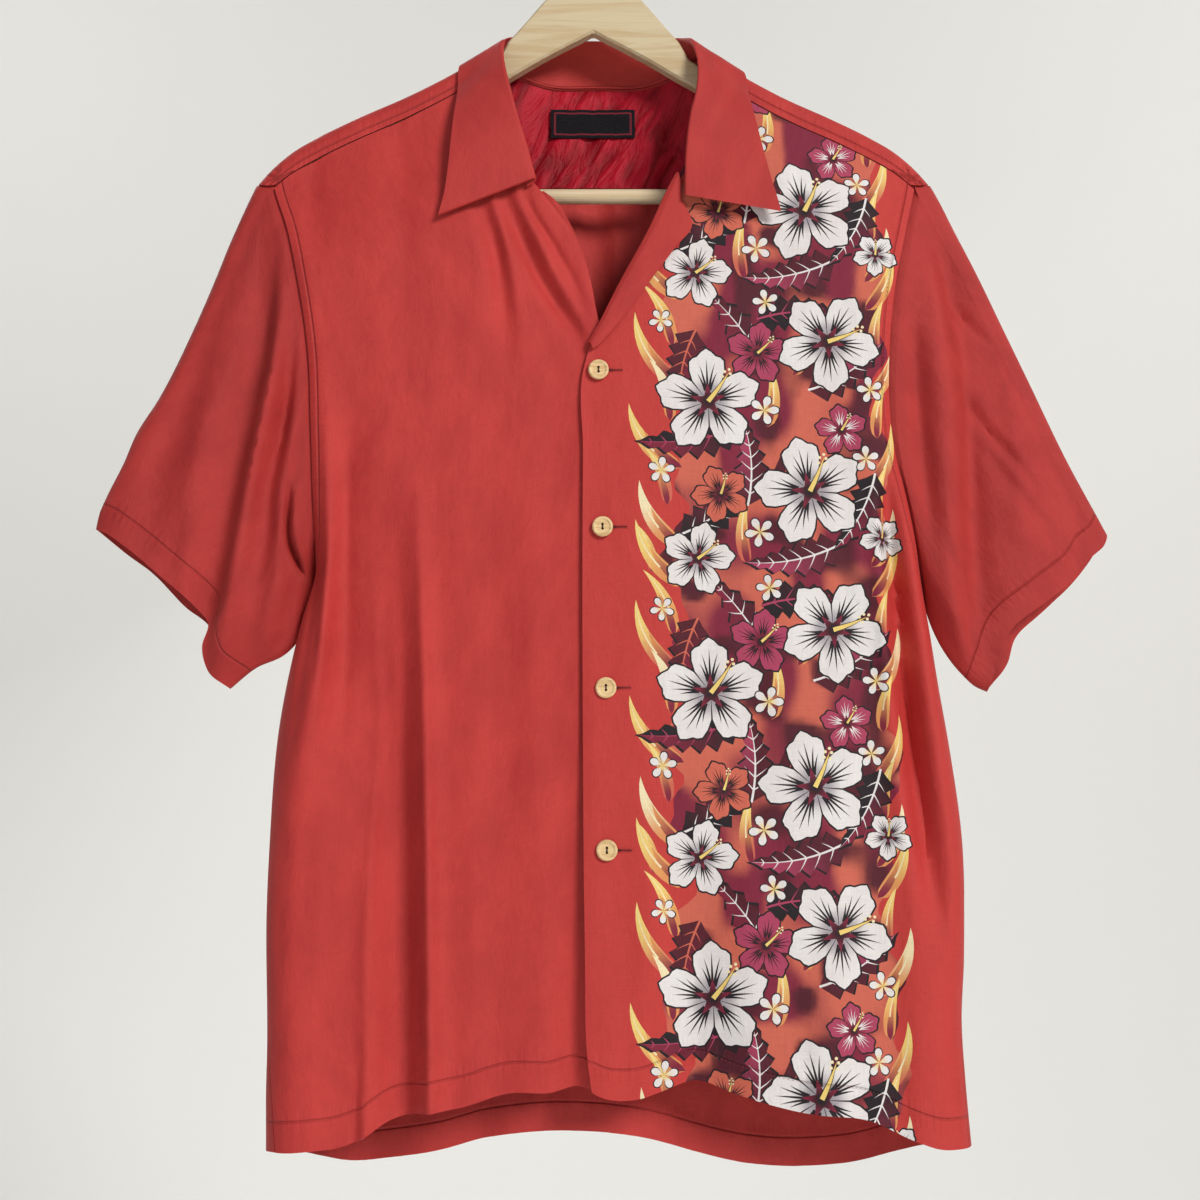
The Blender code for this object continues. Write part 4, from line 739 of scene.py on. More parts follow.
class Look:
    """A material and its nodes."""

    def __init__(self, name):
        self.material = bpy.data.materials.new(name)
        self.material.use_nodes = True
        self.tree = self.material.node_tree
        self.shader = self.tree.nodes["Principled BSDF"]

    def node(self, kind, inputs, out=0, **settings):
        made = self.tree.nodes.new("ShaderNode" + kind)
        for key, value in settings.items():
            setattr(made, key, value)
        for key, value in inputs.items():
            self.feed(made.inputs[key], value)
        return made.outputs[out]

    def feed(self, socket, value):
        if isinstance(value, bpy.types.NodeSocket):
            self.tree.links.new(value, socket)
        else:
            socket.default_value = value

    def calc(self, operation, a, b=0.0):
        return self.node("Math", {0: a, 1: b}, operation=operation)

    def mix(self, share, a, b, blend="MIX"):
        return self.node("Mix", {0: share, 6: a, 7: b}, out=2, data_type="RGBA", blend_type=blend)

    def ramp(self, value, low, high, to_low=0.0, to_high=1.0):
        inputs = {"Value": value, "From Min": low, "From Max": high, "To Min": to_low, "To Max": to_high}
        return self.node("MapRange", inputs, interpolation_type="SMOOTHSTEP")

    def place(self, scale, source="UV"):
        if source == "UV":
            vector = self.node("UVMap", {}, uv_map="cloth")
        elif source == "Object":
            vector = self.node("TexCoord", {}, out=3)
        else:
            vector = self.node("Attribute", {}, out=1, attribute_name=source)
        return self.node("Mapping", {"Vector": vector, "Scale": scale})

    def noise(self, scale, source="UV", detail=2.0, roughness=0.5, distortion=0.0):
        inputs = {"Vector": self.place(scale, source), "Scale": 1.0, "Detail": detail,
                  "Roughness": roughness, "Distortion": distortion}
        return self.node("TexNoise", inputs)

    def bump(self, height, distance, strength=1.0, after=None):
        inputs = {"Height": height, "Distance": distance, "Strength": strength}
        if after is not None:
            inputs["Normal"] = after
        return self.node("Bump", inputs)

    def set(self, **values):
        for key, value in values.items():
            self.feed(self.shader.inputs[key.replace("_", " ")], value)
        return self.material


def colour(*rgb):
    return (*rgb, 1.0)


def weave(look, threads):
    """The height of a plain weave, in cloth coordinates. threads is the number of them in a metre."""
    split = look.node("SeparateXYZ", {0: look.place((threads, threads, 1))}).node
    waves = (look.calc("SINE", look.calc("MULTIPLY", split.outputs[k], math.pi)) for k in (0, 1))
    return look.calc("MULTIPLY", *waves)


def cloth_look(name, base, shade, printed=False, roughness=0.60, sheen=0.03, crumple=1.0):
    """Woven cloth: uneven colour, slubs, weave, fine crumple, puckers and painted shade along its
    stitching.
    """
    look = Look(name)
    mottle = look.noise((28, 16, 1), detail=4, roughness=0.6)
    if printed:
        tone = look.node("Attribute", {}, attribute_name="print")
        tone = look.mix(look.ramp(mottle, 0.3, 0.7, 0.10, 0.0), tone, colour(*shade), "MULTIPLY")
    else:
        tone = look.mix(look.ramp(mottle, 0.34, 0.66), colour(*shade), colour(*base))
    slubs = look.noise((1700, 60, 1), detail=2)
    threads = look.noise((70, 1500, 1), detail=2)
    streak = look.calc("ADD", *(look.ramp(lines, 0.3, 0.7, 0.0, 0.5) for lines in (slubs, threads)))
    tone = look.mix(look.ramp(streak, 0.0, 1.0, 0.16, 0.0), tone, colour(0.35, 0.25, 0.25), "MULTIPLY")
    stitch = look.node("SeparateXYZ", {0: look.node("Attribute", {}, out=1, attribute_name="stitch")}).node
    apart = look.calc("ABSOLUTE", stitch.outputs[1])
    near = look.ramp(apart, 0.0, 1.3, 1.0, 0.0)
    pucker = look.noise((0.34, 0.04, 1), "stitch", detail=2)
    reach = look.ramp(apart, 1.0, 11.0, 1.0, 0.0)
    seam = look.calc("MULTIPLY", look.calc("SUBTRACT", look.calc("MULTIPLY", pucker, reach), near),
                     stitch.outputs[2])
    # A faint darkening along the stitching, where the bump sinks it: painted shade.
    tone = look.mix(look.calc("MULTIPLY", look.calc("MULTIPLY", near, stitch.outputs[2]), 0.07), tone,
                    colour(0.3, 0.2, 0.2), "MULTIPLY")
    soft = look.noise((70, 45, 1), detail=5, roughness=0.62, distortion=0.4)
    normal = look.bump(weave(look, 2600), 0.00012, 0.5)
    normal = look.bump(soft, 0.0022 * crumple, 0.5, normal)
    normal = look.bump(seam, 0.0012, 0.8, normal)
    return look.set(Base_Color=tone, Roughness=roughness, Sheen_Weight=sheen, Sheen_Roughness=0.45,
                    Sheen_Tint=colour(1.0, 0.62, 0.56), Specular_IOR_Level=0.3, Normal=normal)


def satin_look(name, base, shade):
    """Thin shiny lining, crushed into long slanting creases, with painted shade in their hollows."""
    look = Look(name)
    slant = look.node("Mapping", {"Vector": look.place((1, 1, 1)), "Rotation": (0, 0, math.radians(24)),
                                  "Scale": (0.012, 0.045, 1)}, vector_type="TEXTURE")
    crush = look.node("TexNoise", {"Vector": slant, "Scale": 1.0, "Detail": 4.0, "Distortion": 0.7})
    # The colour follows the noise that raises the creases, darker in their hollows: painted shade.
    tone = look.mix(look.ramp(crush, 0.34, 0.62), colour(*shade), colour(*base))
    normal = look.bump(weave(look, 3600), 0.00008, 0.4)
    normal = look.bump(crush, 0.009, 0.6, normal)
    return look.set(Base_Color=tone, Roughness=0.40, Specular_IOR_Level=0.16, Normal=normal)


def wood_look(name, base, dark, rings, length, roughness=0.5):
    """Smooth pale wood with long grain."""
    look = Look(name)
    grain = look.noise((length, rings, rings), "Object", detail=5, roughness=0.6, distortion=0.7)
    fine = look.noise((length * 3, rings * 9, rings * 9), "Object", detail=3)
    share = look.calc("MULTIPLY", look.ramp(grain, 0.42, 0.62), 0.75)
    tone = look.mix(share, colour(*base), colour(*dark))
    tone = look.mix(look.ramp(fine, 0.5, 0.75, 0.0, 0.28), tone, colour(*dark))
    normal = look.bump(fine, 0.0002, 0.5)
    return look.set(Base_Color=tone, Roughness=roughness, Specular_IOR_Level=0.4, Coat_Weight=0.12,
                    Coat_Roughness=0.35, Normal=normal)


def steel_look():
    look = Look("bright_steel")
    brushed = look.noise((90, 90, 900), "Object", detail=3)
    return look.set(Base_Color=colour(0.62, 0.62, 0.63), Metallic=1.0,
                    Roughness=look.ramp(brushed, 0.2, 0.8, 0.18, 0.34),
                    Normal=look.bump(brushed, 0.0001, 0.3))


def thread_look(name, base):
    look = Look(name)
    twist = look.noise((1500, 1500, 1500), "Object", detail=2)
    tone = look.mix(look.ramp(twist, 0.3, 0.7), colour(*(0.7 * c for c in base)), colour(*base))
    normal = look.bump(twist, 0.0003, 0.5)
    return look.set(Base_Color=tone, Roughness=0.6, Sheen_Weight=0.2, Normal=normal)


def label_look():
    """A black woven label with a plain woven border."""
    look = Look("woven_label")
    fine = look.noise((900, 900, 1), detail=2)
    height = look.node("SeparateXYZ", {0: look.place((1, 1, 1))}, out=1)
    ribs = look.calc("SINE", look.calc("MULTIPLY", height, 2 * math.pi / 0.0011))  # one in every 1.1 mm
    tone = look.mix(look.ramp(fine, 0.3, 0.7), colour(0.004, 0.004, 0.006), colour(0.014, 0.013, 0.017))
    line = look.node("Attribute", {}, out=2, attribute_name="border")
    tone = look.mix(look.ramp(line, 0.45, 0.55), tone, colour(0.17, 0.02, 0.03))
    return look.set(Base_Color=tone, Roughness=0.85, Specular_IOR_Level=0.15,
                    Normal=look.bump(look.calc("ADD", ribs, fine), 0.00025, 0.6))


# ---------------------------------------------------------------- meshes


def make_object(name, points, faces, materials, slots=None):
    mesh = bpy.data.meshes.new(name)
    mesh.from_pydata((np.asarray(points) * MM).tolist(), [], [tuple(face) for face in faces])
    for item in materials:
        mesh.materials.append(item)
    if slots is not None:
        mesh.polygons.foreach_set("material_index", np.asarray(slots, dtype=np.int32))
    mesh.shade_smooth()
    mesh.set_sharp_from_angle(angle=math.radians(55))
    obj = bpy.data.objects.new(name, mesh)
    bpy.context.scene.collection.objects.link(obj)
    return obj


def set_uv(mesh, values):
    layer = mesh.uv_layers.new(name="cloth")
    corners = np.empty(len(mesh.loops), dtype=np.int32)
    mesh.loops.foreach_get("vertex_index", corners)
    layer.data.foreach_set("uv", np.asarray(values, dtype=np.float32)[corners].ravel())


def set_vectors(mesh, name, values):
    made = mesh.attributes.new(name, "FLOAT_VECTOR", "POINT")
    made.data.foreach_set("vector", np.asarray(values, dtype=np.float32).ravel())


def cloth_lengths(points):
    """Cloth coordinates of a grid of points: how far each lies along its row and down its column."""
    across = np.linalg.norm(np.diff(points, axis=1), axis=-1)
    down = np.linalg.norm(np.diff(points, axis=0), axis=-1)
    u = np.concatenate([np.zeros((points.shape[0], 1)), np.cumsum(across, axis=1)], axis=1)
    v = np.concatenate([np.zeros((1, points.shape[1])), np.cumsum(down, axis=0)], axis=0)
    u = u - u[:, u.shape[1] // 2][:, None]
    return np.stack([u, -v], axis=-1) * MM


def shell(name, outer, thickness, materials, closed=False, normals=None, stitch=None):
    """Thin cloth between a grid of points and the same grid moved inwards, with its cloth coordinates."""
    rows, columns = outer.shape[:2]
    thick = np.broadcast_to(thickness, (rows, columns))[..., None]
    if normals is None:
        normals = grid_normals(outer, closed)
    points = np.concatenate([outer.reshape(-1, 3), (outer - normals * thick).reshape(-1, 3)])
    shift = rows * columns
    spans = columns if closed else columns - 1
    i, j = np.meshgrid(np.arange(rows - 1), np.arange(spans), indexing="ij")
    k = (j + 1) % columns
    above, below = i * columns, (i + 1) * columns
    quad = np.stack([above + j, below + j, below + k, above + k], axis=-1).reshape(-1, 4)
    faces = quad.tolist() + (quad[:, ::-1] + shift).tolist()
    slots = [0] * len(quad) + [len(materials) - 1] * len(quad)
    rim = []
    for j in range(spans):
        k = (j + 1) % columns
        last = (rows - 1) * columns
        rim.append((j, k, k + shift, j + shift))
        rim.append((last + k, last + j, last + j + shift, last + k + shift))
    if not closed:
        for i in range(rows - 1):
            a, b = i * columns, (i + 1) * columns
            rim.append((b, a, a + shift, b + shift))
            a, b = a + columns - 1, b + columns - 1
            rim.append((a, b, b + shift, a + shift))
    obj = make_object(name, points, faces + rim, materials, slots + [0] * len(rim))
    uv = cloth_lengths(outer).reshape(-1, 2)
    set_uv(obj.data, np.concatenate([uv, uv]))
    if stitch is None:
        stitch = np.zeros((rows, columns, 3)) + (0, FAR, 0)
    set_vectors(obj.data, "stitch", np.concatenate([stitch.reshape(-1, 3)] * 2))
    return obj


def stitches(name, lines, thread, pitch=3.0, length=2.1, radius=0.24):
    """Rows of stitches, each a small spindle. A line is its points and the outward normals at them."""
    points, faces = [], []
    for line, normals in lines:
        way = way_along(line)
        centre = np.arange(pitch / 2, way[-1], pitch)

        def at(values, where, way=way):
            return np.stack([np.interp(where, way, values[:, k]) for k in range(3)], axis=-1)

        middle, up = at(line, centre), at(normals, centre)
        ahead = at(line, centre + length / 2) - at(line, centre - length / 2)
        ahead /= np.linalg.norm(ahead, axis=1, keepdims=True) + 1e-9
        beside = np.cross(ahead, up)
        for m, t, n, b in zip(middle, ahead, up, beside):
            k = len(points)
            points += [m - t * length / 2 - n * 0.2, m + t * length / 2 - n * 0.2]
            points += [m + b * radius, m - b * radius, m + n * radius * 0.9, m - n * radius]
            for c, d in ((2, 4), (4, 3), (3, 5), (5, 2)):
                faces += [(k, k + c, k + d), (k + 1, k + d, k + c)]
    obj = make_object(name, points, faces, [thread])
    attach(obj, "root")


def own(obj, nodes):
    """The piece stands for these solids, which are hidden, and rides with the part."""
    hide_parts(*nodes)
    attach(obj, "root")
    return obj


# ---------------------------------------------------------------- the printed border

INK = (0.012, 0.006, 0.010)
WHITE = (0.80, 0.78, 0.77)
GREY = (0.36, 0.33, 0.36)
WINE = (0.085, 0.006, 0.016)
PLUM = (0.22, 0.012, 0.040)
ROSE = (0.42, 0.050, 0.115)
CORAL = (0.62, 0.135, 0.085)
ORANGE = (0.74, 0.30, 0.10)
YELLOW = (0.88, 0.66, 0.20)
CREAM = (0.90, 0.80, 0.50)
RED = (0.550, 0.042, 0.037)  # the cloth's own colour
DARK_RED = (0.475, 0.033, 0.030)  # the same where the cloth is darker

REPEAT = 198.0  # height of the border's pattern
FIRST_REPEAT = -108.0  # height of the top of its first repeat

# Blades of grass: base x, height in the repeat, length, width, angle, curl, colour at the base and the tip
BLADES = (
    (62, -6, 58, 12, 142, -58, ORANGE, YELLOW), (54, -40, 50, 10, 104, 44, ORANGE, YELLOW),
    (60, -66, 62, 12, 138, -62, CORAL, YELLOW), (52, -92, 46, 10, 96, 46, ORANGE, CREAM),
    (60, -124, 60, 12, 146, -66, ORANGE, YELLOW), (50, -150, 44, 9, 100, 42, CORAL, YELLOW),
    (60, -178, 56, 12, 138, -60, ORANGE, CREAM), (40, -196, 34, 8, 98, 36, CORAL, YELLOW),
    (186, -14, 48, 11, 52, 56, ORANGE, YELLOW), (192, -46, 40, 9, 90, -36, CORAL, YELLOW),
    (186, -76, 50, 11, 50, 58, ORANGE, CREAM), (192, -104, 40, 9, 88, -34, ORANGE, YELLOW),
    (184, -138, 52, 11, 52, 60, CORAL, YELLOW), (192, -162, 42, 9, 90, -38, ORANGE, YELLOW),
    (186, -192, 46, 10, 54, 54, ORANGE, CREAM), (118, -96, 46, 10, 78, 40, ORANGE, YELLOW),
    (104, -190, 48, 10, 100, -44, CORAL, YELLOW), (136, -60, 40, 9, 62, 44, ORANGE, CREAM),
)
# Palm leaves: base x, height in the repeat, length, width, angle, curl, dark, light and vein colour
PALMS = (
    (120, -62, 74, 30, 118, 26, WINE, PLUM, WHITE), (98, -96, 70, 30, 196, -30, INK, PLUM, ROSE),
    (146, -70, 62, 27, 24, 34, WINE, ROSE, WHITE), (128, -112, 70, 28, 300, 34, WINE, PLUM, CORAL),
    (58, -170, 64, 28, 30, 38, INK, PLUM, WHITE), (166, -176, 66, 28, 200, -34, WINE, ROSE, WHITE),
    (70, -28, 56, 26, 250, 30, WINE, PLUM, CORAL), (190, -128, 60, 26, 250, -34, INK, PLUM, WHITE),
    (112, -20, 60, 26, 10, -36, INK, WINE, ROSE), (104, -150, 58, 26, 84, 30, WINE, ROSE, WHITE),
)
# Hibiscus flowers: x, height in the repeat, radius, turn, petal's inner and outer colour, vein colour
FLOWERS = (
    (112, -44, 21, 10, PLUM, ROSE, INK), (86, -142, 19, 40, WINE, CORAL, INK),
    (168, -98, 17, 25, PLUM, ROSE, WHITE),
    (78, -78, 35, 20, GREY, WHITE, INK), (160, -36, 34, -14, GREY, WHITE, INK),
    (146, -140, 36, 32, GREY, WHITE, INK), (70, -186, 24, 4, GREY, WHITE, INK),
    (194, -172, 15, 50, GREY, WHITE, INK),
)
# Small five-petalled flowers: x, height in the repeat, radius, turn
STARS = ((116, -84, 10, 0), (188, -70, 9, 30), (46, -126, 9, 12), (112, -168, 10, 44), (184, -118, 9, 20),
         (118, -8, 9, 30), (46, -22, 8, 50))


def turned(points, x, z, degrees):
    c, s = math.cos(math.radians(degrees)), math.sin(math.radians(degrees))
    right, up = np.asarray(points, float).T
    return np.stack([x + right * c - up * s, z + right * s + up * c], axis=-1)


def flat_colour(tone):
    return lambda p: np.broadcast_to(tone, (len(p), 3))


def blend(a, b, share):
    return np.asarray(a) + (np.asarray(b) - np.asarray(a)) * share[:, None]


def round_colour(x, z, radius, inner, outer, low=0.15, high=0.7):
    def at(p):
        share = np.hypot(p[:, 0] - x, p[:, 1] - z) / radius
        return blend(inner, outer, smoothstep((share - low) / (high - low)))
    return at


def long_colour(base, tip, first, last, low=0.2, high=0.8):
    way = np.asarray(tip) - np.asarray(base)

    def at(p):
        share = (p - base) @ way / (way @ way)
        return blend(first, last, smoothstep((share - low) / (high - low)))
    return at


def ground_colour(p):
    """The ground behind the flowers: coral, rose and wine in soft patches."""
    patch = noise(p[:, 0] / 24, p[:, 1] / 30, 4)
    dark = noise(p[:, 0] / 17, p[:, 1] / 19, 9)
    tone = blend(CORAL, PLUM, smoothstep((patch + 0.25) / 0.5))
    return blend(tone, WINE, smoothstep((dark - 0.1) / 0.4))


def blade(x, z, length, width, angle, curl, notches=0, half=0, count=12):
    """A long leaf that tapers and curls. half is 1 or -1 for one side of its midrib only."""
    s = np.linspace(0, 1, count)
    turn = np.radians(angle + curl * (s - 0.2))
    steps = np.stack([np.cos(turn[:-1]), np.sin(turn[:-1])], axis=-1) * (length / (count - 1))
    mid = np.array([x, z]) + np.concatenate([[[0, 0]], np.cumsum(steps, axis=0)])
    side = np.stack([-np.sin(turn), np.cos(turn)], axis=-1)
    wide = width / 2 * np.sin(math.pi * s**0.62) ** 0.8 * (1 - 0.25 * s)
    if notches:
        wide = wide * (1 - 0.42 * (np.arange(count) % 2))
    wide = wide[:, None]
    left, right = mid + side * wide, mid - side * wide
    there = right if half < 0 else left
    home = mid if half else right
    return np.concatenate([there, home[-2:0:-1]]), mid


def stroke(line, width):
    """A thin brush stroke along a line of points, pointed at its far end."""
    line = np.asarray(line, float)
    ahead = unit(np.gradient(line, axis=0))
    side = np.stack([-ahead[:, 1], ahead[:, 0]], axis=-1)
    wide = (width / 2 * (1 - np.linspace(0, 1, len(line)) ** 1.5))[:, None]
    return np.concatenate([(line + side * wide)[:-1], line[-1:], (line - side * wide)[-2::-1]])


def petal(radius, spread, ruffle, count=15):
    phi = np.linspace(-1, 1, count)
    r = radius * np.cos(phi * math.pi / 2).clip(0) ** 0.42 * (1 + ruffle * np.cos(phi * 11))
    turn = np.radians(spread) * phi
    arc = np.stack([r * np.cos(turn), r * np.sin(turn)], axis=-1)[1:-1]
    return np.concatenate([[[0, 0]], arc])


def flower(add, x, z, radius, turn, inner, outer, vein):
    """A hibiscus: five ruffled petals with their veins, a star at the centre and a long yellow pistil."""
    for k in range(5):
        angle = turn + 72 * k
        add(turned(petal(radius + 1.2, 43, 0.05), x, z, angle), flat_colour(INK))
        tone = round_colour(x, z, radius, inner, outer, 0.22, 0.52)
        add(turned(petal(radius, 40, 0.05), x, z, angle), tone)
        for lean, reach in ((-24, 0.62), (-13, 0.78), (0, 0.86), (12, 0.76), (23, 0.60)):
            s = np.linspace(0.22, reach, 4)
            way = np.radians(lean * (0.35 + 0.75 * s))
            line = np.stack([s * np.cos(way), s * np.sin(way)], axis=-1) * radius
            add(stroke(turned(line, x, z, angle), 0.05 * radius), flat_colour(vein))
    star = [(radius * r * math.cos(a), radius * r * math.sin(a))
            for a, r in ((math.radians(36 * k), 0.13 if k % 2 else 0.36) for k in range(10))]
    add(turned(star, x, z, turn), round_colour(x, z, radius, INK, PLUM, 0.05, 0.3))
    s = np.linspace(0, 0.72, 5)
    line = turned(np.stack([s, 0.12 * s**2], axis=-1) * radius, x, z, turn + 30)
    add(stroke(line, 0.13 * radius), flat_colour(INK))
    add(stroke(line, 0.09 * radius), flat_colour(YELLOW))
    ring = np.array([(math.cos(a), math.sin(a)) for a in np.linspace(0, 2 * math.pi, 7)[:-1]])
    for far, off in ((0.56, 0.10), (0.60, -0.01), (0.66, 0.13), (0.70, 0.02), (0.75, 0.09)):
        spot = turned([(far * radius, off * radius)], x, z, turn + 30)[0]
        add(spot + ring * 0.032 * radius, flat_colour(CREAM))


def palm(add, x, z, length, width, angle, curl, dark, light, vein):
    """A palm leaf: an inked outline, a light and a dark half, and pairs of veins along its midrib."""
    outline, mid = blade(x, z, length + 2.5, width + 2.6, angle, curl, 1, 0, 15)
    add(outline, flat_colour(INK))
    for half, tip_colour in ((1, light), (-1, dark)):
        outline, mid = blade(x, z, length, width, angle, curl, 1, half, 15)
        add(outline, long_colour(mid[0], mid[-1], dark, tip_colour, 0.0, 0.9))
    add(stroke(mid, 1.5), flat_colour(vein))
    for k in range(2, 13, 2):
        ahead = unit(mid[k + 1] - mid[k - 1])
        side = np.array([-ahead[1], ahead[0]])
        wide = width * 0.30 * math.sin(math.pi * (k / 14) ** 0.62)
        for way in (1, -1):
            tip = mid[k] + (ahead * 0.9 + side * way) * wide
            add(stroke([mid[k], (mid[k] + tip) / 2 + side * way * 0.4, tip], 0.9), flat_colour(vein))


def border_shapes():
    """Every shape of the print, the lowest first: its outline and the colour at any place."""
    z = np.linspace(-130, -900, 150)
    left = 57 + 7 * np.sin(z / 9.5) + 6 * np.sin(z / 23 + 1) + 3 * np.sin(z / 4.1)
    right = 196 + 5 * np.sin(z / 11 + 2) + 4 * np.sin(z / 27) + 2.5 * np.sin(z / 4.7 + 1)
    ground = np.concatenate([np.stack([left, z], axis=-1), np.stack([right, z], axis=-1)[::-1]])
    shapes = [(ground, ground_colour)]

    def add(outline, tone):
        shapes.append((outline, tone))

    tops = [FIRST_REPEAT - REPEAT * k for k in range(-1, 4)]
    for top in tops:
        for x, low, length, width, angle, curl, first, last in BLADES:
            outline, mid = blade(x, top + low, length, width, angle, curl)
            add(outline, long_colour(mid[0], mid[-1], first, last))
            inner, _ = blade(x, top + low, length * 0.62, width * 0.5, angle, curl * 0.62)
            add(inner, long_colour(mid[0], mid[-1], PLUM, ORANGE, 0.1, 0.6))
            add(stroke(mid[4:], width * 0.10), flat_colour(CREAM))
    for top in tops:
        for x, low, *leaf in PALMS:
            palm(add, x, top + low, *leaf)
    for top in tops:
        for x, low, *bloom in FLOWERS:
            flower(add, x, top + low, *bloom)
        for x, low, radius, turn in STARS:
            tone = round_colour(x, top + low, radius, YELLOW, WHITE, 0.15, 0.5)
            for reach, spread, fill in ((radius + 0.8, 36, flat_colour(INK)), (radius, 31, tone)):
                for k in range(5):
                    add(turned(petal(reach, spread, 0, 9), x, top + low, turn + 72 * k), fill)
    return shapes


def inside(points, outline):
    """Which points lie inside a closed outline."""
    x, z = points[:, 0], points[:, 1]
    found = np.zeros(len(points), bool)
    ahead = np.roll(outline, -1, axis=0)
    for (ax, az), (bx, bz) in zip(outline, ahead):
        if az == bz:
            continue
        crosses = (az > z) != (bz > z)
        found ^= crosses & (x < (bx - ax) * (z - az) / (bz - az) + ax)
    return found


# ---------------------------------------------------------------- the sheets of cloth


def front_edge(side):
    return lambda z: through(FRONT_EDGES[side], 1, z)


def back_middle(z):
    """The back's inner edge: it is made as two halves, which meet at the neck's centre."""
    return np.full_like(z, NECK_CENTRE)


def front_point(side):
    """A front's surface at each share of its width and each height, with its fine folds."""
    edge = front_edge(side)

    def at(q, z):
        points = lapped(side, body_point(side, "front", edge, q, z, CREASED_FRONTS[side]))
        fade = section(side, "front", edge(z), q, z)[2] * smoothstep(q / 0.03 + 0.2)
        free = fade * smoothstep((ridge_height(points[..., 0]) - z - 20) / 50)
        points[..., 1] += ripple(points[..., 0], z, 2 + side) * free
        return points

    return at


def back_point(side):
    def at(q, z):
        points = body_point(side, "back", back_middle, q, z, CREASED_BACK)
        fade = section(side, "back", back_middle(z), q, z)[2]
        free = fade * smoothstep((through(BACK_YOKE_SEAM, 1, np.abs(points[..., 0])) - z) / 60)
        points[..., 1] -= ripple(points[..., 0], z, 5) * free
        return points

    return at


def front_top(x):
    return yoke_point(x, np.full_like(x, -FRONT_YOKE))[..., 2] - 2 * SEAM_GAP


def hem_height(table):
    return lambda x: through(table, 1, x)


def nearer(along_a, from_a, along_b, from_b):
    """How far along the nearer of two rows of stitches each point lies, how far from it, and 1."""
    by_a = np.abs(from_a) < np.abs(from_b)
    way, off = np.where(by_a, along_a, along_b), np.where(by_a, from_a, from_b)
    return np.stack([way, off, np.ones_like(off)], axis=-1)


def seam_marks(points, hem, way_from_side):
    """The marks of the stitching at a panel's armhole and hem."""
    from_hem = points[..., 2] - hem - HEM_HEIGHT
    return nearer(points[..., 2], way_from_side - ARMHOLE_ROW, points[..., 0], from_hem)


def side_way(side, panel, edge, q, z):
    """Along the cloth: from the side to a point, from the side to the inner edge, and to where x is 0."""
    seam, turn = side_at(side, panel, z)
    extreme = seam + SIDE_RADIUS * (1 - np.cos(turn))
    arc = SIDE_RADIUS * (math.pi / 2 - turn)
    total = arc + extreme - SIDE_RADIUS - side * edge(z)
    return SIDE_GAP + (1 - q) * (total - SIDE_GAP), total, extreme - SIDE_RADIUS + arc


def side_row(side, panel, point, z, reach, out):
    """A row of stitches at one distance from a panel's side: its points and outward normals."""
    edge = front_edge(side) if panel == "front" else back_middle
    _, total, _ = side_way(side, panel, edge, np.ones_like(z), z)
    share = 1 - (reach - SIDE_GAP) / (total - SIDE_GAP)
    return point(share, z), panel_normals(point, share, z, out)


def panel_lines(point, side, q, z):
    """The rows of stitches on a front: along its hem, inside its armhole and beside its side seam."""
    hem = z[-1] + HEM_HEIGHT
    high = np.linspace(z[0, -1] - 6, UNDERARM[side] + 4, 90)
    low = np.linspace(UNDERARM[side] - 8, z[-1, -1] + 3, 150)
    return [(point(q, hem), panel_normals(point, q, hem, -1)),
            side_row(side, "front", point, high, ARMHOLE_ROW, -1),
            side_row(side, "front", point, low, SIDE_ROW, -1)]


def right_front(cloth, thread):
    columns, above, below = 150, 100, 104
    q = np.linspace(0, 1, columns) ** 0.95
    point = front_point(-1)
    z = panel_heights(point, -1, q, front_top, hem_height(FRONT_HEM), above, below)
    q = np.broadcast_to(q, z.shape)
    points, normals = point(q, z), panel_normals(point, q, z, -1)
    way, _, _ = side_way(-1, "front", front_edge(-1), q, z)
    hem = points[-1:, :, 2]
    marks = seam_marks(points, hem, np.where(z > UNDERARM[-1], way, FAR))
    thick = hem_wall(points[..., 2], hem) - THINNER
    points, thick, normals, marks = (grid[:, ::-1] for grid in (points, thick, normals, marks))
    obj = shell("shirt_right_front", points, thick, [cloth], normals=normals, stitch=marks)
    own(obj, ["right_front"])
    stitches("stitching_right_front", panel_lines(point, -1, q[0], z), thread)
    return obj


def loops(outlines):
    """The points of closed outlines, one after the other, and the edges round each of them."""
    places, edges = [], []
    for outline in outlines:
        start, count = len(places), len(outline)
        places += [tuple(place) for place in outline]
        edges += [(start + k, start + (k + 1) % count) for k in range(count)]
    return places, edges


def cut_cloth(loop, shapes, inner):
    """Flat triangles that fill the loop and follow every shape's outline: their points and corners."""
    places, edges = loops([loop] + [outline for outline, _ in shapes])
    places += inner.tolist()
    made = delaunay_2d_cdt([Vector(place) for place in places], edges, [], 0, 0.02)
    spots = np.array([tuple(place) for place in made[0]])
    faces = np.array([face for face in made[2] if len(face) == 3])
    a, b, c = (spots[faces[:, k]] for k in range(3))
    area = (b - a)[:, 0] * (c - a)[:, 1] - (b - a)[:, 1] * (c - a)[:, 0]
    keep = inside((a + b + c) / 3, loop) & (np.abs(area) > 1e-5)
    faces, area = faces[keep], area[keep]
    faces = np.where((area > 0)[:, None], faces, faces[:, ::-1])
    used, index = np.unique(faces, return_inverse=True)
    return spots[used], index.reshape(-1, 3)


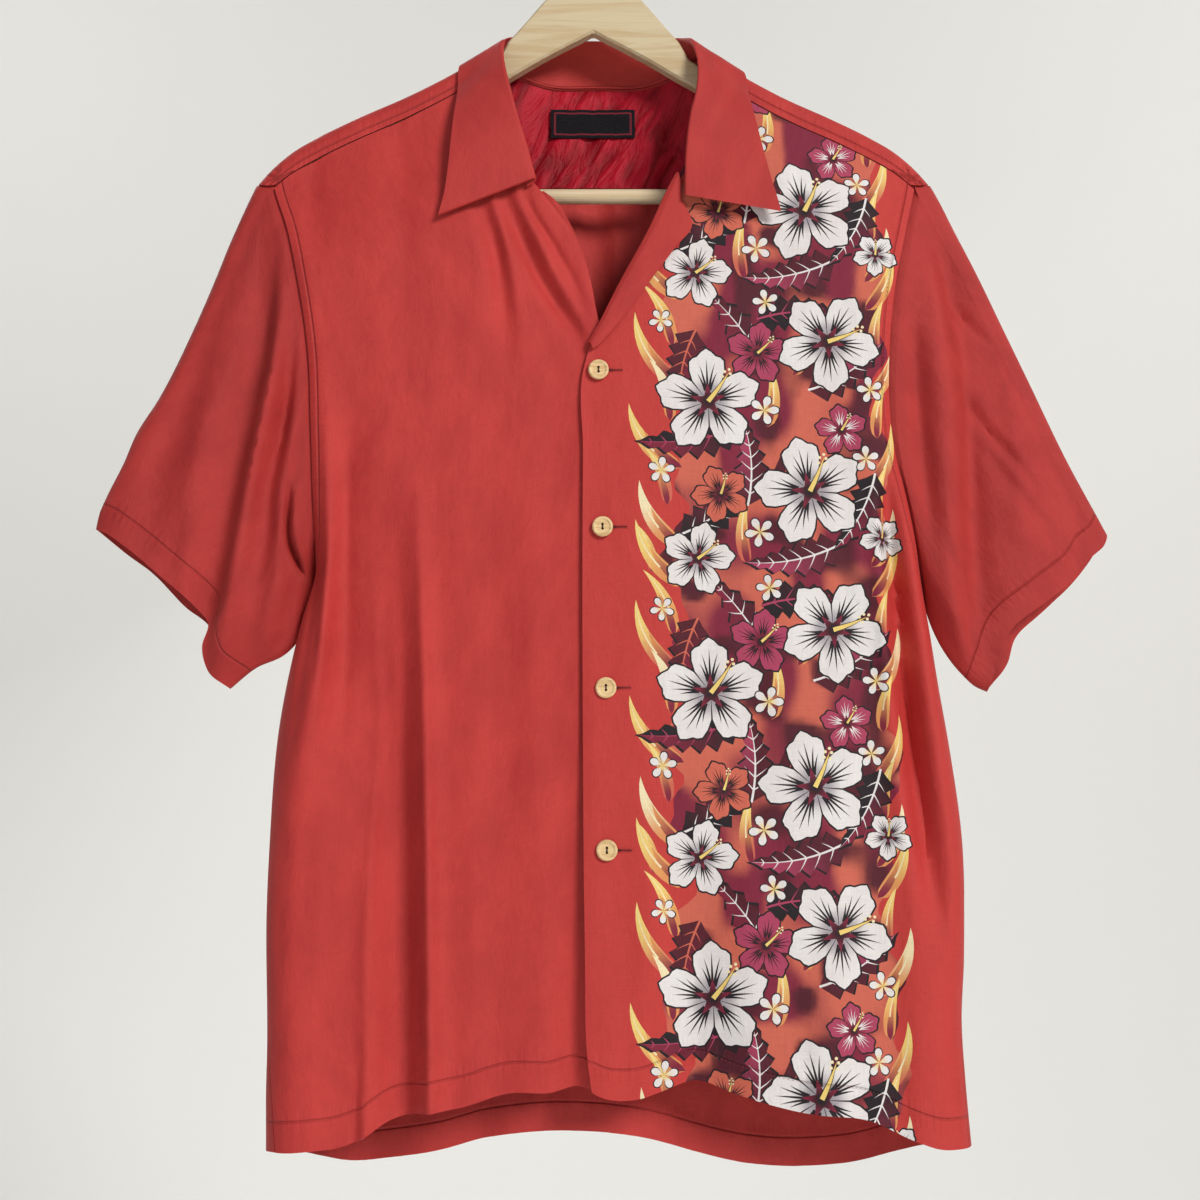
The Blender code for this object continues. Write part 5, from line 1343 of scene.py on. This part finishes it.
def printed_tones(spots, faces, shapes):
    """The colour at each corner of each triangle: the cloth's red, or that of the topmost shape there."""
    centre = sum(spots[faces[:, k]] for k in range(3)) / 3
    top = np.full(len(faces), -1)
    for number, (outline, _) in enumerate(shapes):
        low, high = outline.min(axis=0), outline.max(axis=0)
        near = np.flatnonzero(np.all((centre >= low) & (centre <= high), axis=1))
        top[near[inside(centre[near], outline)]] = number
    tones = np.broadcast_to(RED, (len(faces), 3, 3)).copy()
    for number in np.unique(top[top >= 0]):
        mine = np.flatnonzero(top == number)
        tone = shapes[number][1](spots[faces[mine]].reshape(-1, 2))
        tones[mine] = np.asarray(tone).reshape(-1, 3, 3)
    return tones.reshape(-1, 3)


def rim_faces(faces, shift):
    """The faces that close the edge between a sheet and its other side, whose points come shift later."""
    pairs = {(face[k], face[(k + 1) % 3]): True for face in faces for k in range(3)}
    return [(b, a, a + shift, b + shift) for a, b in pairs if (b, a) not in pairs]


def left_front(cloth, plain, thread):
    """The printed front: one sheet whose faces follow the outlines of the print."""
    point = front_point(1)
    edge = front_edge(1)
    columns, above, below = 74, 88, 92
    q = np.linspace(0, 1, columns)
    z = panel_heights(point, 1, q, front_top, hem_height(FRONT_HEM), above, below)
    way, _, reach = side_way(1, "front", edge, np.broadcast_to(q, z.shape), z)
    flat = np.stack([reach - way, z], axis=-1)  # the panel laid flat, which the print is cut into
    loop = np.concatenate([flat[:, 0], flat[-1, 1:], flat[-2::-1, -1], flat[0, -2:0:-1]])
    inner = flat[1:-1, 1:-1].reshape(-1, 2)
    jitter = np.stack([noise(inner[:, 0] * 3.1, inner[:, 1] * 2.7, 1),
                       noise(inner[:, 0] * 2.3, inner[:, 1] * 3.3, 2)], axis=-1)
    shapes = [(outline, tone) for outline, tone in border_shapes()
              if outline[:, 1].max() > z.min() and outline[:, 1].min() < z.max()]
    spots, faces = cut_cloth(loop, shapes, inner + 0.5 * jitter)
    zs = spots[:, 1]
    _, total, reach = side_way(1, "front", edge, np.ones_like(zs), zs)
    way = reach - spots[:, 0]
    share = np.clip(1 - (way - SIDE_GAP) / (total - SIDE_GAP), 0, 1)
    points, normals = point(share, zs), panel_normals(point, share, zs, -1)
    hem = np.interp(spots[:, 0], flat[-1, :, 0], flat[-1, :, 1])
    inner = points - normals * (hem_wall(zs, hem) - THINNER)[:, None]
    front = faces.tolist()
    rest = (faces[:, ::-1] + len(points)).tolist() + rim_faces(front, len(points))
    obj = make_object("shirt_left_front", np.concatenate([points, inner]), front + rest, [cloth, plain],
                      [0] * len(front) + [1] * len(rest))
    set_uv(obj.data, np.concatenate([spots, spots]) * MM)
    marks = seam_marks(points, hem, np.where(zs > UNDERARM[1], way, FAR))
    set_vectors(obj.data, "stitch", np.concatenate([marks, marks]))
    tones = obj.data.color_attributes.new("print", "FLOAT_COLOR", "CORNER")
    values = np.ones((len(obj.data.loops), 4), dtype=np.float32)
    values[:, :3] = RED
    values[: 3 * len(faces), :3] = printed_tones(spots, faces, shapes)
    tones.data.foreach_set("color", values.ravel())
    own(obj, ["left_front"])
    stitches("stitching_left_front", panel_lines(point, 1, q, z), thread)
    return obj


def back_top(x):
    return through(BACK_YOKE_SEAM, 1, np.abs(x)) - 2 * SEAM_GAP


def back(cloth, thread):
    columns, above, below = 79, 84, 104
    points, normals, marks, lines, inner_lines = [], [], [], [], []
    for side in (1, -1):
        q = 1 - (1 - np.linspace(0, 1, columns)) ** 1.08
        point = back_point(side)
        z = panel_heights(point, side, q, back_top, hem_height(BACK_HEM), above, below)
        grid = np.broadcast_to(q, z.shape)
        made, out = point(grid, z), panel_normals(point, grid, z, 1)
        tuck = smoothstep((z - z[0] + 4.0) / 3.0)  # the top edge goes in under the yoke
        made += tuck[..., None] * (0, -1.3, 1.6)
        way, _, _ = side_way(side, "back", back_middle, grid, z)
        mark = seam_marks(made, made[-1:, :, 2], np.where(z > UNDERARM[side], way, FAR))
        hem = z[-1] + HEM_HEIGHT
        line, up = point(q, hem), panel_normals(point, q, hem, 1)
        lines.append((line[3:], up[3:]))
        inner_lines.append((line[3:] - up[3:] * (CLOTH + 0.35), -up[3:]))
        turn = slice(None) if side < 0 else slice(None, None, -1)
        points.append(made[:, turn])
        normals.append(out[:, turn])
        marks.append(mark[:, turn])
    join = [np.concatenate([rows[0][:, :-1], rows[1]], axis=1) for rows in (points, normals, marks)]
    thick = hem_wall(join[0][..., 2], join[0][-1:, :, 2]) - THINNER
    obj = shell("shirt_back", join[0], thick, [cloth], normals=join[1], stitch=join[2])
    own(obj, ["back"])
    stitches("stitching_back_hem", lines + inner_lines, thread)
    return obj


def yoke_piece(cloth, thread):
    half = spaced((0, 68, 90, YOKE_HALF_WIDTH), (19, 18, 41))
    x = np.concatenate([-half[:0:-1], half])
    start, end = yoke_limits(x)
    turned_over = 15  # over the ridge; beyond this the rows are spread down to the seam
    over = np.linspace(-FRONT_YOKE, turned_over, 22)[:, None] + 0 * end
    down = turned_over + (end - turned_over) * np.linspace(0, 1, 26)[1:, None]
    share = (np.concatenate([over, down]) + FRONT_YOKE) / (end + FRONT_YOKE)

    def place(share):
        a = start + SEAM_GAP + (end - start - 2 * SEAM_GAP) * share
        wide = yoke_width(x, a)
        normals = yoke_normal(wide, a)
        swell = 0.35 * noise(wide / 17, a / 9, 3) * smoothstep((np.abs(a) - 4) / 12) * (np.abs(x) > 95)
        return yoke_point(wide, a) + normals * swell[..., None], normals, a, wide

    points, normals, a, wide = place(share)
    from_back, from_front = end - a - YOKE_ROW, a + FRONT_YOKE - YOKE_ROW
    nearest = np.where(from_back < np.abs(from_front), from_back, from_front)
    marks = nearer(a, yoke_end(a) - np.abs(wide) - ARMHOLE_ROW, wide, nearest)
    marks[..., 2] = np.abs(wide) > 88  # there is no stitching round the neck
    points, normals, marks = (grid[:, ::-1] for grid in (points, normals, marks))
    obj = shell("shirt_yoke", points, CLOTH - THINNER, [cloth], normals=normals, stitch=marks)
    own(obj, ["yoke"])
    line, up, _, _ = place((end - start - YOKE_ROW) / (end - start))
    high, high_up, _, _ = place(np.full_like(end, YOKE_ROW) / (end + FRONT_YOKE))
    lines = [(line, up), *((high[keep], high_up[keep]) for keep in (x > 96, x < -96))]
    stitches("stitching_yoke", lines, thread)
    return obj


def lining(cloth):
    x = np.linspace(-196, 198, 150)
    start, end = yoke_limits(x)
    start = np.maximum(start + 3, 17)
    v = np.linspace(0, 1, 46)[:, None]
    a = start + (end - 4 - start) * v
    wide = np.broadcast_to(x, a.shape)
    normals = yoke_normal(wide, a)
    slant = wide + 0.55 * a
    crush = 1.2 * noise(slant / 11, a / 30, 2) + 0.55 * noise(slant / 4.5 + 3, a / 13, 6)
    crush = crush + 0.3 * noise(wide / 3, a / 4, 7)
    free = smoothstep((a - start) / 5) * smoothstep((end - 4 - a) / 5)
    depth = CLOTH + LINING_GAP + (0.5 + np.clip(crush, -0.9, 2)) * free
    outer = yoke_point(wide, a) - normals * depth[..., None]
    obj = shell("yoke_lining_satin", outer[:, ::-1], 0.5, [cloth])
    return own(obj, ["yoke_lining"])


def label_piece(cloth):
    left, right, top, bottom = -31, 30, -153, -175
    across, down = np.linspace(left, right, 42), np.linspace(top, bottom, 17)[:, None]
    grid_x, grid_z = np.broadcast_arrays(across, down)
    bow = 0.5 * noise(grid_x / 16, grid_z / 14, 3)
    y = back_y(grid_x, grid_z) - CLOTH - LINING_GAP - LINING_WALL - 1.3 - 0.4 * (1 + bow)
    ragged_x = grid_x + 0.35 * noise(grid_z / 1.6, grid_x * 0, 5) * (np.abs(grid_x + 0.5) > 30)
    ragged_z = grid_z - 0.0005 * grid_x**2 + 0.3 * noise(grid_x / 2.1, grid_z * 0, 6)
    points = np.stack([ragged_x, y, ragged_z], axis=-1)[:, ::-1]
    obj = shell("woven_neck_label", points, 0.8, [cloth])
    inwards = np.min([grid_x - left, right - grid_x, top - grid_z, grid_z - bottom], axis=0)[:, ::-1]
    line = obj.data.attributes.new("border", "FLOAT", "POINT")
    value = np.where(np.abs(inwards - 3.0) < 0.5, 1.0, 0.0).ravel()
    line.data.foreach_set("value", np.concatenate([value, value]).astype(np.float32))
    return own(obj, ["neck_label"])


def sleeve_piece(name, side, sizes, front_folds, back_folds, cloth, thread):
    rows, columns = 64, 150
    s = np.linspace(0, 1, columns // 2 + 1)
    s = 0.4 * s + 0.6 * (0.5 - 0.5 * np.cos(math.pi * s))
    front, t = sleeve_layer(side, sizes, "front", s, rows, front_folds)
    behind, _ = sleeve_layer(side, sizes, "back", s, rows, back_folds)
    free = smoothstep((t - 0.04) / 0.15) * smoothstep(s * 6) * smoothstep((1 - s) * 6)
    for layer, way, seed in ((front, 1, 11 + side), (behind, -1, 17 + side)):
        slant = layer[..., 0] + 0.35 * side * layer[..., 2]
        layer[..., 1] += way * ripple(slant, layer[..., 2] - 300, seed) * free
        layer[..., 2] += 1.7 * smoothstep((0.16 - s) / 0.08) * smoothstep((0.16 - t) / 0.12)
        below = smoothstep((-498 - layer[..., 2]) / 8) * smoothstep((layer[..., 2] + 560) / 8)
        layer[..., 0] -= 0.8 * side * below * smoothstep((s - 0.9) / 0.1) * (side < 0)
    need = 6.0 * np.sqrt(np.clip(4 * s * (1 - s), 0, 1)) * smoothstep(t / 0.1)
    short = np.maximum(need - (behind[..., 1] - front[..., 1]), 0)
    front[..., 1] -= short / 2
    behind[..., 1] += short / 2
    points = np.concatenate([front, behind[:, -2:0:-1]], axis=1)
    if side > 0:
        points = points[:, ::-1]
    count = points.shape[1]
    down = np.linalg.norm(np.diff(points, axis=0), axis=-1)[::-1]
    from_hem = np.concatenate([np.zeros((1, count)), np.cumsum(down, axis=0)])[::-1]
    marks = np.ones((*from_hem.shape, 3))
    marks[..., 0] = np.cumsum(np.linalg.norm(np.roll(points[-1], -1, axis=0) - points[-1], axis=-1))
    marks[..., 1] = from_hem - CUFF_ROW
    thick = CLOTH - THINNER + (HEM_WALL - CLOTH) * smoothstep((20.5 - from_hem) / 3)
    normals = grid_normals(points, True)
    obj = shell("shirt_" + name, points, thick, [cloth], closed=True, normals=normals, stitch=marks)
    own(obj, [name])
    row = np.array([np.interp(-CUFF_ROW, -way, np.arange(len(way))) for way in from_hem.T])
    low = np.floor(row).astype(int)
    part = (row - low)[:, None]
    number = np.arange(count)
    line = points[low, number] * (1 - part) + points[low + 1, number] * part
    up = normals[low, number]
    close = [*range(count), 0]
    inner = line - up * (CLOTH + 0.25)
    stitches("stitching_" + name, [(line[close], up[close]), (inner[close], -up[close])], thread)
    return obj


def armhole_stitches(thread):
    """One row of stitches inside each armhole's edge, on the yoke's ends and the back."""
    lines = []
    for side in (1, -1):
        a = np.linspace(-FRONT_YOKE + 1, 22, 40)
        wide = side * (yoke_end(a) - ARMHOLE_ROW)
        lines.append((yoke_point(wide, a) + yoke_normal(wide, a) * 0.1, yoke_normal(wide, a)))
        high = np.linspace(-245, UNDERARM[side] + 4, 90)
        lines.append(side_row(side, "back", back_point(side), high, ARMHOLE_ROW, 1))
    stitches("stitching_armholes", lines, thread)


def collar_piece(cloth, thread):
    share = spaced((0, 0.18, 0.34, 0.63, 0.79, 1.0), (24, 36, 44, 36, 30))
    places, normals, into = neck_line(share)
    crown = curves(COLLAR, (1, 2, 3), share)
    clearance = COLLAR_WALL + 1.7
    edge = clear_of_body(curves(COLLAR, (4, 5, 6), share), clearance)
    rise = unit(crown - places)
    flat = np.abs(np.sum(rise * into, axis=1, keepdims=True))
    end = np.maximum(smoothstep((0.06 - share) / 0.06), smoothstep((share - 0.90) / 0.05))[:, None]
    lift = -1.3 * flat * (1 - end) + 0.6 * end
    seam = places + into * (1.3 + COLLAR_WALL * (1 - flat)) + normals * lift + rise * 0.6
    fall = 16
    points, normals = strip_section(seam, crown, edge, 6, 10, fall, 2.3)
    points[:, -fall:] = clear_of_body(points[:, -fall:], clearance)
    down = np.linspace(0, 1, fall)
    from_ends = np.minimum(smoothstep(share * 14), smoothstep((1 - share) * 14))[:, None]
    free = np.sin(math.pi * down) * from_ends
    wave = 0.7 * noise(share[:, None] * 23, down * 1.4, 8) + 0.25 * noise(share[:, None] * 70, down * 4, 9)
    points[:, -fall:] += normals[:, -fall:] * (np.maximum(wave, -0.1) * free)[..., None]
    marks = np.zeros((*points.shape[:2], 3)) + (0, FAR, 1)
    marks[..., 0] = share[:, None] * 430
    obj = shell("shirt_collar", points, COLLAR_WALL - 0.2, [cloth], normals=normals, stitch=marks)
    own(obj, ["collar"])
    inner = slice(14, -14)
    line = points[inner, 0] + (points[inner, 1] - points[inner, 0]) * 0.35
    up = -normals[inner, 0]
    stitches("stitching_collar", [(line + up * (COLLAR_WALL - 0.1), up)], thread)
    return obj


def lapel_piece(cloth):
    share = np.linspace(0, 1, 50)
    rows = [(w, *row) for w, row in zip(np.linspace(0, 1, len(LAPEL)), LAPEL)]
    turn_z, out_x, out_z = (through(rows, k, share) for k in (1, 2, 3))
    turn_x = through(LEFT_FRONT_EDGE, 1, turn_z) - 2.7
    half = 1.7  # of the roll's thickness
    flat = front_surface(1, turn_x, turn_z)
    points = []
    for a in (math.radians(angle) for angle in np.linspace(100, 270, 12)):
        x, y = turn_x + half + half * math.cos(a), flat - 0.6 + half * math.sin(a)
        points.append(np.stack([x, y, turn_z], axis=-1))
    last = points[-1]
    for k in np.linspace(0, 1, 14)[1:]:
        x = last[:, 0] + (out_x - last[:, 0]) * k
        z = last[:, 2] + (out_z - last[:, 2]) * k
        puff = 0.6 * math.sin(math.pi * k) + 0.35 * np.maximum(noise(z / 14, x / 9, 4), -0.2) * k
        points.append(np.stack([x, front_surface(1, x, z) - 3.2 - puff, z], axis=-1))
    grid = np.stack(points, axis=1)
    line = np.gradient(np.stack([turn_x, flat, turn_z], axis=-1), axis=0)[:, None]
    normals = unit(np.cross(line, np.gradient(grid, axis=1)))
    obj = shell("shirt_left_lapel", grid, CLOTH - THINNER, [cloth], normals=normals)
    return own(obj, ["left_lapel"])


def facing_piece(cloth):
    z = np.linspace(-234, -330, 40)
    edge = through(RIGHT_FRONT_EDGE, 1, z)
    beyond = ((-330, 0.2), (-304, 0.4), (-282, 0.6), (-266, 1.2), (-255, 3.5), (-247, 5.5), (-240, 5.5),
              (-234, 2.5))  # height, how far the facing shows beyond the front's edge
    proud = through(beyond, 1, z)
    share = np.linspace(0, 1, 10)
    x = (edge + proud)[:, None] - (proud[:, None] + 22) * share
    y = front_surface(-1, x, z[:, None]) + CLOTH + 1.3 + 1.4 * share
    points = np.stack([x, y, np.broadcast_to(z[:, None], x.shape)], axis=-1)
    obj = shell("shirt_right_facing", points[:, ::-1], 0.8, [cloth])
    return own(obj, ["right_facing"])


def button_piece(number, x, z, wood, dark, thread):
    """A turned button with a rim, two thread holes one above the other with painted shade inside, and its
    thread.
    """
    half = BUTTON_THICKNESS / 2
    y = float(front_surface(1, x, z)) - half - 0.8
    hollow, dish = 4.4, half * 0.45  # radius of the hollow in the button's middle, height of its floor
    profile = ((4.9, half * 0.62), (5.3, half * 0.96), (5.8, half), (6.3, half * 0.94), (6.8, half * 0.6),
               (BUTTON_RADIUS, half * 0.1), (6.9, -half * 0.4), (6.4, -half * 0.85), (5.6, -half))
    sides, hole_sides = 48, 12
    ring = np.linspace(0, 2 * math.pi, sides, endpoint=False)
    small = np.linspace(0, 2 * math.pi, hole_sides, endpoint=False)

    def circle(radius, angles, up=0.0):
        return [(radius * math.cos(a), up + radius * math.sin(a)) for a in angles]

    centres = (-1.5, 1.5)
    holes = [circle(BUTTON_HOLE_RADIUS, small, up) for up in centres]
    places, edges = loops([circle(hollow, ring), *holes])
    made = delaunay_2d_cdt([Vector(p) for p in places + circle(3.3, ring[::3])], edges, [], 0, 1e-5)
    spots = [tuple(p) for p in made[0]]
    faces, walls = [], []
    for face in made[2]:
        middle = np.mean([spots[k] for k in face], axis=0)
        if all(np.hypot(middle[0], middle[1] - up) > BUTTON_HOLE_RADIUS * 0.98 for up in centres):
            faces.append(tuple(face)[::-1])
    points = [(px, -dish, pz) for px, pz in spots]
    for start in (sides, sides + hole_sides):
        low = len(points)
        points += [(spots[start + k][0], half * 0.6, spots[start + k][1]) for k in range(hole_sides)]
        for k in range(hole_sides):
            j = (k + 1) % hole_sides
            walls.append((start + k, start + j, low + j, low + k))
        walls.append(tuple(low + k for k in range(hole_sides)))
    previous = list(range(sides))
    for radius, up in profile:
        low = len(points)
        points += [(px, -up, pz) for px, pz in circle(radius, ring)]
        for k in range(sides):
            j = (k + 1) % sides
            faces.append((previous[k], low + k, low + j, previous[j]))
        previous = list(range(low, low + sides))
    faces.append(tuple(previous))
    # The holes' walls and floors take the near-black material: painted shade inside the holes.
    slots = [0] * len(faces) + [1] * len(walls)
    points = np.array(points) + (x, y, z)
    obj = make_object(f"button_{number}_turned", points, faces + walls, [wood, dark], slots)
    own(obj, [f"button_{number}"])
    s = np.linspace(-1, 1, 9)
    depth = y - dish - 0.32 + 1.1 * np.abs(s) ** 4
    lines = []
    for off in (-0.45, -0.15, 0.15, 0.45):
        strand = np.stack([x + off * (1 - 0.35 * np.abs(s)), depth, z + 1.55 * s], axis=-1)
        lines.append((strand, np.broadcast_to((0.0, -1.0, 0.0), strand.shape)))
    stitches(f"button_{number}_thread", lines, thread, pitch=0.45, length=0.62, radius=0.17)


def buttonhole(number, x, z, dark, thread):
    """A worked buttonhole: a near-black slit of painted shade, wider towards its button, between two rows
    of stitches.
    """
    s = np.linspace(-2.0, 9.5, 46)
    left, height = x + s, np.full_like(s, z)
    y = front_surface(1, left, height) + ripple(left, height, 3) - 0.15
    gape = 0.22 + 0.75 * smoothstep((4.0 - s) / 6.0)
    up = np.broadcast_to((0.0, -1.0, 0.0), (2, 3))
    lines = []
    for row in (-1, 1):
        for k in range(2, len(s) - 1, 2):
            ends = [(left[k], y[k] - 0.1, z + row * (gape[k] + reach)) for reach in (0.05, 1.1)]
            lines.append((np.array(ends), up))
    stitches(f"buttonhole_{number}", lines, thread, pitch=1.0, length=1.05, radius=0.15)
    # The slit is a thin near-black sheet: painted shade where the opening shows.
    points = np.stack([np.stack([left, y - 0.06, z + off * gape], axis=-1) for off in (1, 0, -1)])
    obj = shell(f"buttonhole_{number}_slit", points, 0.08, [dark])
    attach(obj, "root")


def neck_cord(cloth):
    """The turned seam round the inside of the neck, a fine raised line below the collar."""
    share = np.linspace(0.27, 0.76, 160)
    places, normals, into = neck_line(share)
    middle = places - into * 0.4 - normals * (CLOTH + LINING_GAP + 1.1)
    radius, sides = 0.8, 8
    ring = np.linspace(0, 2 * math.pi, sides, endpoint=False)
    points = [middle + radius * (into * math.cos(r) + normals * math.sin(r)) for r in ring]
    points = np.stack(points, axis=1).reshape(-1, 3)
    faces = []
    for i in range(0, len(points) - sides, sides):
        for j in range(sides):
            k = (j + 1) % sides
            faces.append((i + j, i + sides + j, i + sides + k, i + k))
    faces += [tuple(range(sides)), tuple(len(points) - 1 - k for k in range(sides))]
    obj = make_object("neck_seam_cord", points, faces, [cloth])
    set_uv(obj.data, np.stack([points[:, 0], points[:, 2]], axis=-1) * MM)
    set_vectors(obj.data, "stitch", np.zeros((len(points), 3)) + (0, FAR, 0))
    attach(obj, "root")


# ---------------------------------------------------------------- the stage


def studio():
    """A pale floor that sweeps up behind the part, soft lamps and the photograph's camera, in metres."""
    height, radius, middle = -1.8, 1.6, -0.2  # the floor's height, the sweep's radius, its middle's height
    nearest, sweep_start, wall, wall_top, half_width = -7.0, 1.6, 3.2, 5.0, 8
    profile = [(nearest, height), (sweep_start, height)]
    profile += [(sweep_start + radius * math.sin(a), middle - radius * math.cos(a))
                for a in np.linspace(0.1, math.pi / 2, 12)]
    profile += [(wall, wall_top)]
    points = [(x * 1000, y * 1000, z * 1000) for y, z in profile for x in (-half_width, half_width)]
    faces = [(2 * k, 2 * k + 1, 2 * k + 3, 2 * k + 2) for k in range(len(profile) - 1)]
    look = Look("pale_floor")
    look.set(Base_Color=colour(0.82, 0.815, 0.785), Roughness=0.9)
    floor = make_object("floor", points, faces, [look.material])
    scene = bpy.context.scene
    world = bpy.data.worlds.new("studio")
    world.use_nodes = True
    sky = world.node_tree.nodes["Background"].inputs
    sky["Color"].default_value = (0.95, 0.96, 1.0, 1)
    sky["Strength"].default_value = 0.22
    scene.world = world
    front, behind = (0, 0, -0.5), (0, 3.2, -0.3)
    warm, cool, plain = (1.0, 0.975, 0.94), (0.96, 0.98, 1.0), (1.0, 1.0, 0.99)
    # name, place, what it points at, size, watts, tint
    lamps = (("key", (3.0, -4.2, 1.9), front, (2.0, 2.0), 262, warm),
             ("fill", (-1.6, -2.4, -0.8), front, (2.2, 2.2), 9.5, cool),
             ("back", (-0.9, 2.4, 1.2), front, (2.0, 2.0), 34, plain),
             ("wall left", (-2.2, 1.4, 1.8), behind, (1.6, 1.6), 17, plain),
             ("wall right", (2.2, 1.4, 1.8), behind, (1.6, 1.6), 12, plain))
    for name, place, target, size, power, tint in lamps:
        data = bpy.data.lights.new(name, "AREA")
        data.shape = "ELLIPSE"
        data.size, data.size_y = size
        data.energy = power
        data.color = tint
        lamp = bpy.data.objects.new(name, data)
        lamp.location = place
        lamp.rotation_euler = (Vector(target) - Vector(place)).to_track_quat("-Z", "Y").to_euler()
        scene.collection.objects.link(lamp)
    data = bpy.data.cameras.new("camera")
    data.lens = 50.0
    data.sensor_width = 36.0
    camera = bpy.data.objects.new("camera", data)
    camera.location = (0.0047, -1.12829, -0.67464)
    camera.rotation_euler = (math.radians(98), 0, 0)
    scene.collection.objects.link(camera)
    scene.camera = camera
    scene.view_settings.view_transform = "Standard"


def main():
    def rayon_look(name, strength, **settings):
        # A strength below 1 gives a darker copy of the same cloth: painted shade.
        tones = [tuple(strength * channel for channel in tone) for tone in (RED, DARK_RED)]
        return cloth_look(name, *tones, **settings)

    rayon = rayon_look("red_rayon", 1.0)
    # The printed front: its darker tone is the rayon's dimmed to 0.96, painted shade.
    printed = rayon_look("printed_rayon_painted_shade", 0.96, printed=True)
    # The sleeves: the same rayon dimmed to 0.86, painted shade.
    sleeve_shaded_look = rayon_look("sleeve_rayon_painted_shade", 0.86)
    # The collar, lapel and neck cord: the same rayon dimmed to 0.92, painted shade.
    collar_shaded_look = rayon_look("collar_rayon_painted_shade", 0.92, crumple=0.6)
    satin = satin_look("red_satin", (0.46, 0.007, 0.024), (0.22, 0.002, 0.008))
    thread = thread_look("red_thread", (0.42, 0.032, 0.030))
    dark_thread = thread_look("brown_thread", (0.060, 0.020, 0.016))
    # Near black, for the buttonholes' slits and the buttons' thread holes: painted shade.
    dark = Look("slit_and_hole_painted_shade").set(Base_Color=colour(0.05, 0.004, 0.004), Roughness=0.9)
    tan = wood_look("button_wood", (0.78, 0.56, 0.29), (0.55, 0.34, 0.14), 500, 60, 0.38)
    pale = wood_look("pale_pine", (0.61, 0.50, 0.32), (0.50, 0.36, 0.19), 120, 7)
    bar = wood_look("pale_bar", (0.74, 0.60, 0.40), (0.62, 0.46, 0.26), 120, 7)

    cut = {
        "right_front": right_front(rayon, thread),
        "left_front": left_front(printed, rayon, thread),
        "back": back(rayon, thread),
        "yoke": yoke_piece(rayon, thread),
        "lining": lining(satin),
        "label": label_piece(label_look()),
    }
    back_folds = creased(SLEEVE_BACK_FOLDS, BACK_SLEEVE_CREASES)
    for name, side, sizes, folds, fine in (
        ("right_sleeve", -1, RIGHT_SLEEVE, RIGHT_SLEEVE_FOLDS, RIGHT_SLEEVE_CREASES),
        ("left_sleeve", 1, LEFT_SLEEVE, LEFT_SLEEVE_FOLDS, LEFT_SLEEVE_CREASES),
    ):
        cut[name] = sleeve_piece(name, side, sizes, creased(folds, fine), back_folds, sleeve_shaded_look, thread)
    armhole_stitches(thread)
    cut["collar"] = collar_piece(collar_shaded_look, thread)
    neck_cord(collar_shaded_look)
    cut["lapel"] = lapel_piece(collar_shaded_look)
    cut["facing"] = facing_piece(rayon)
    for number, (x, z) in enumerate(BUTTONS, 1):
        button_piece(number, x, z, tan, dark, dark_thread)
        buttonhole(number, x + BUTTON_RADIUS, z, dark, thread)
    for name, look in (("hanger_arms", pale), ("hanger_bar", bar), ("hanger_hook", steel_look())):
        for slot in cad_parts[name].material_slots:
            slot.material = look

    studio()


main()
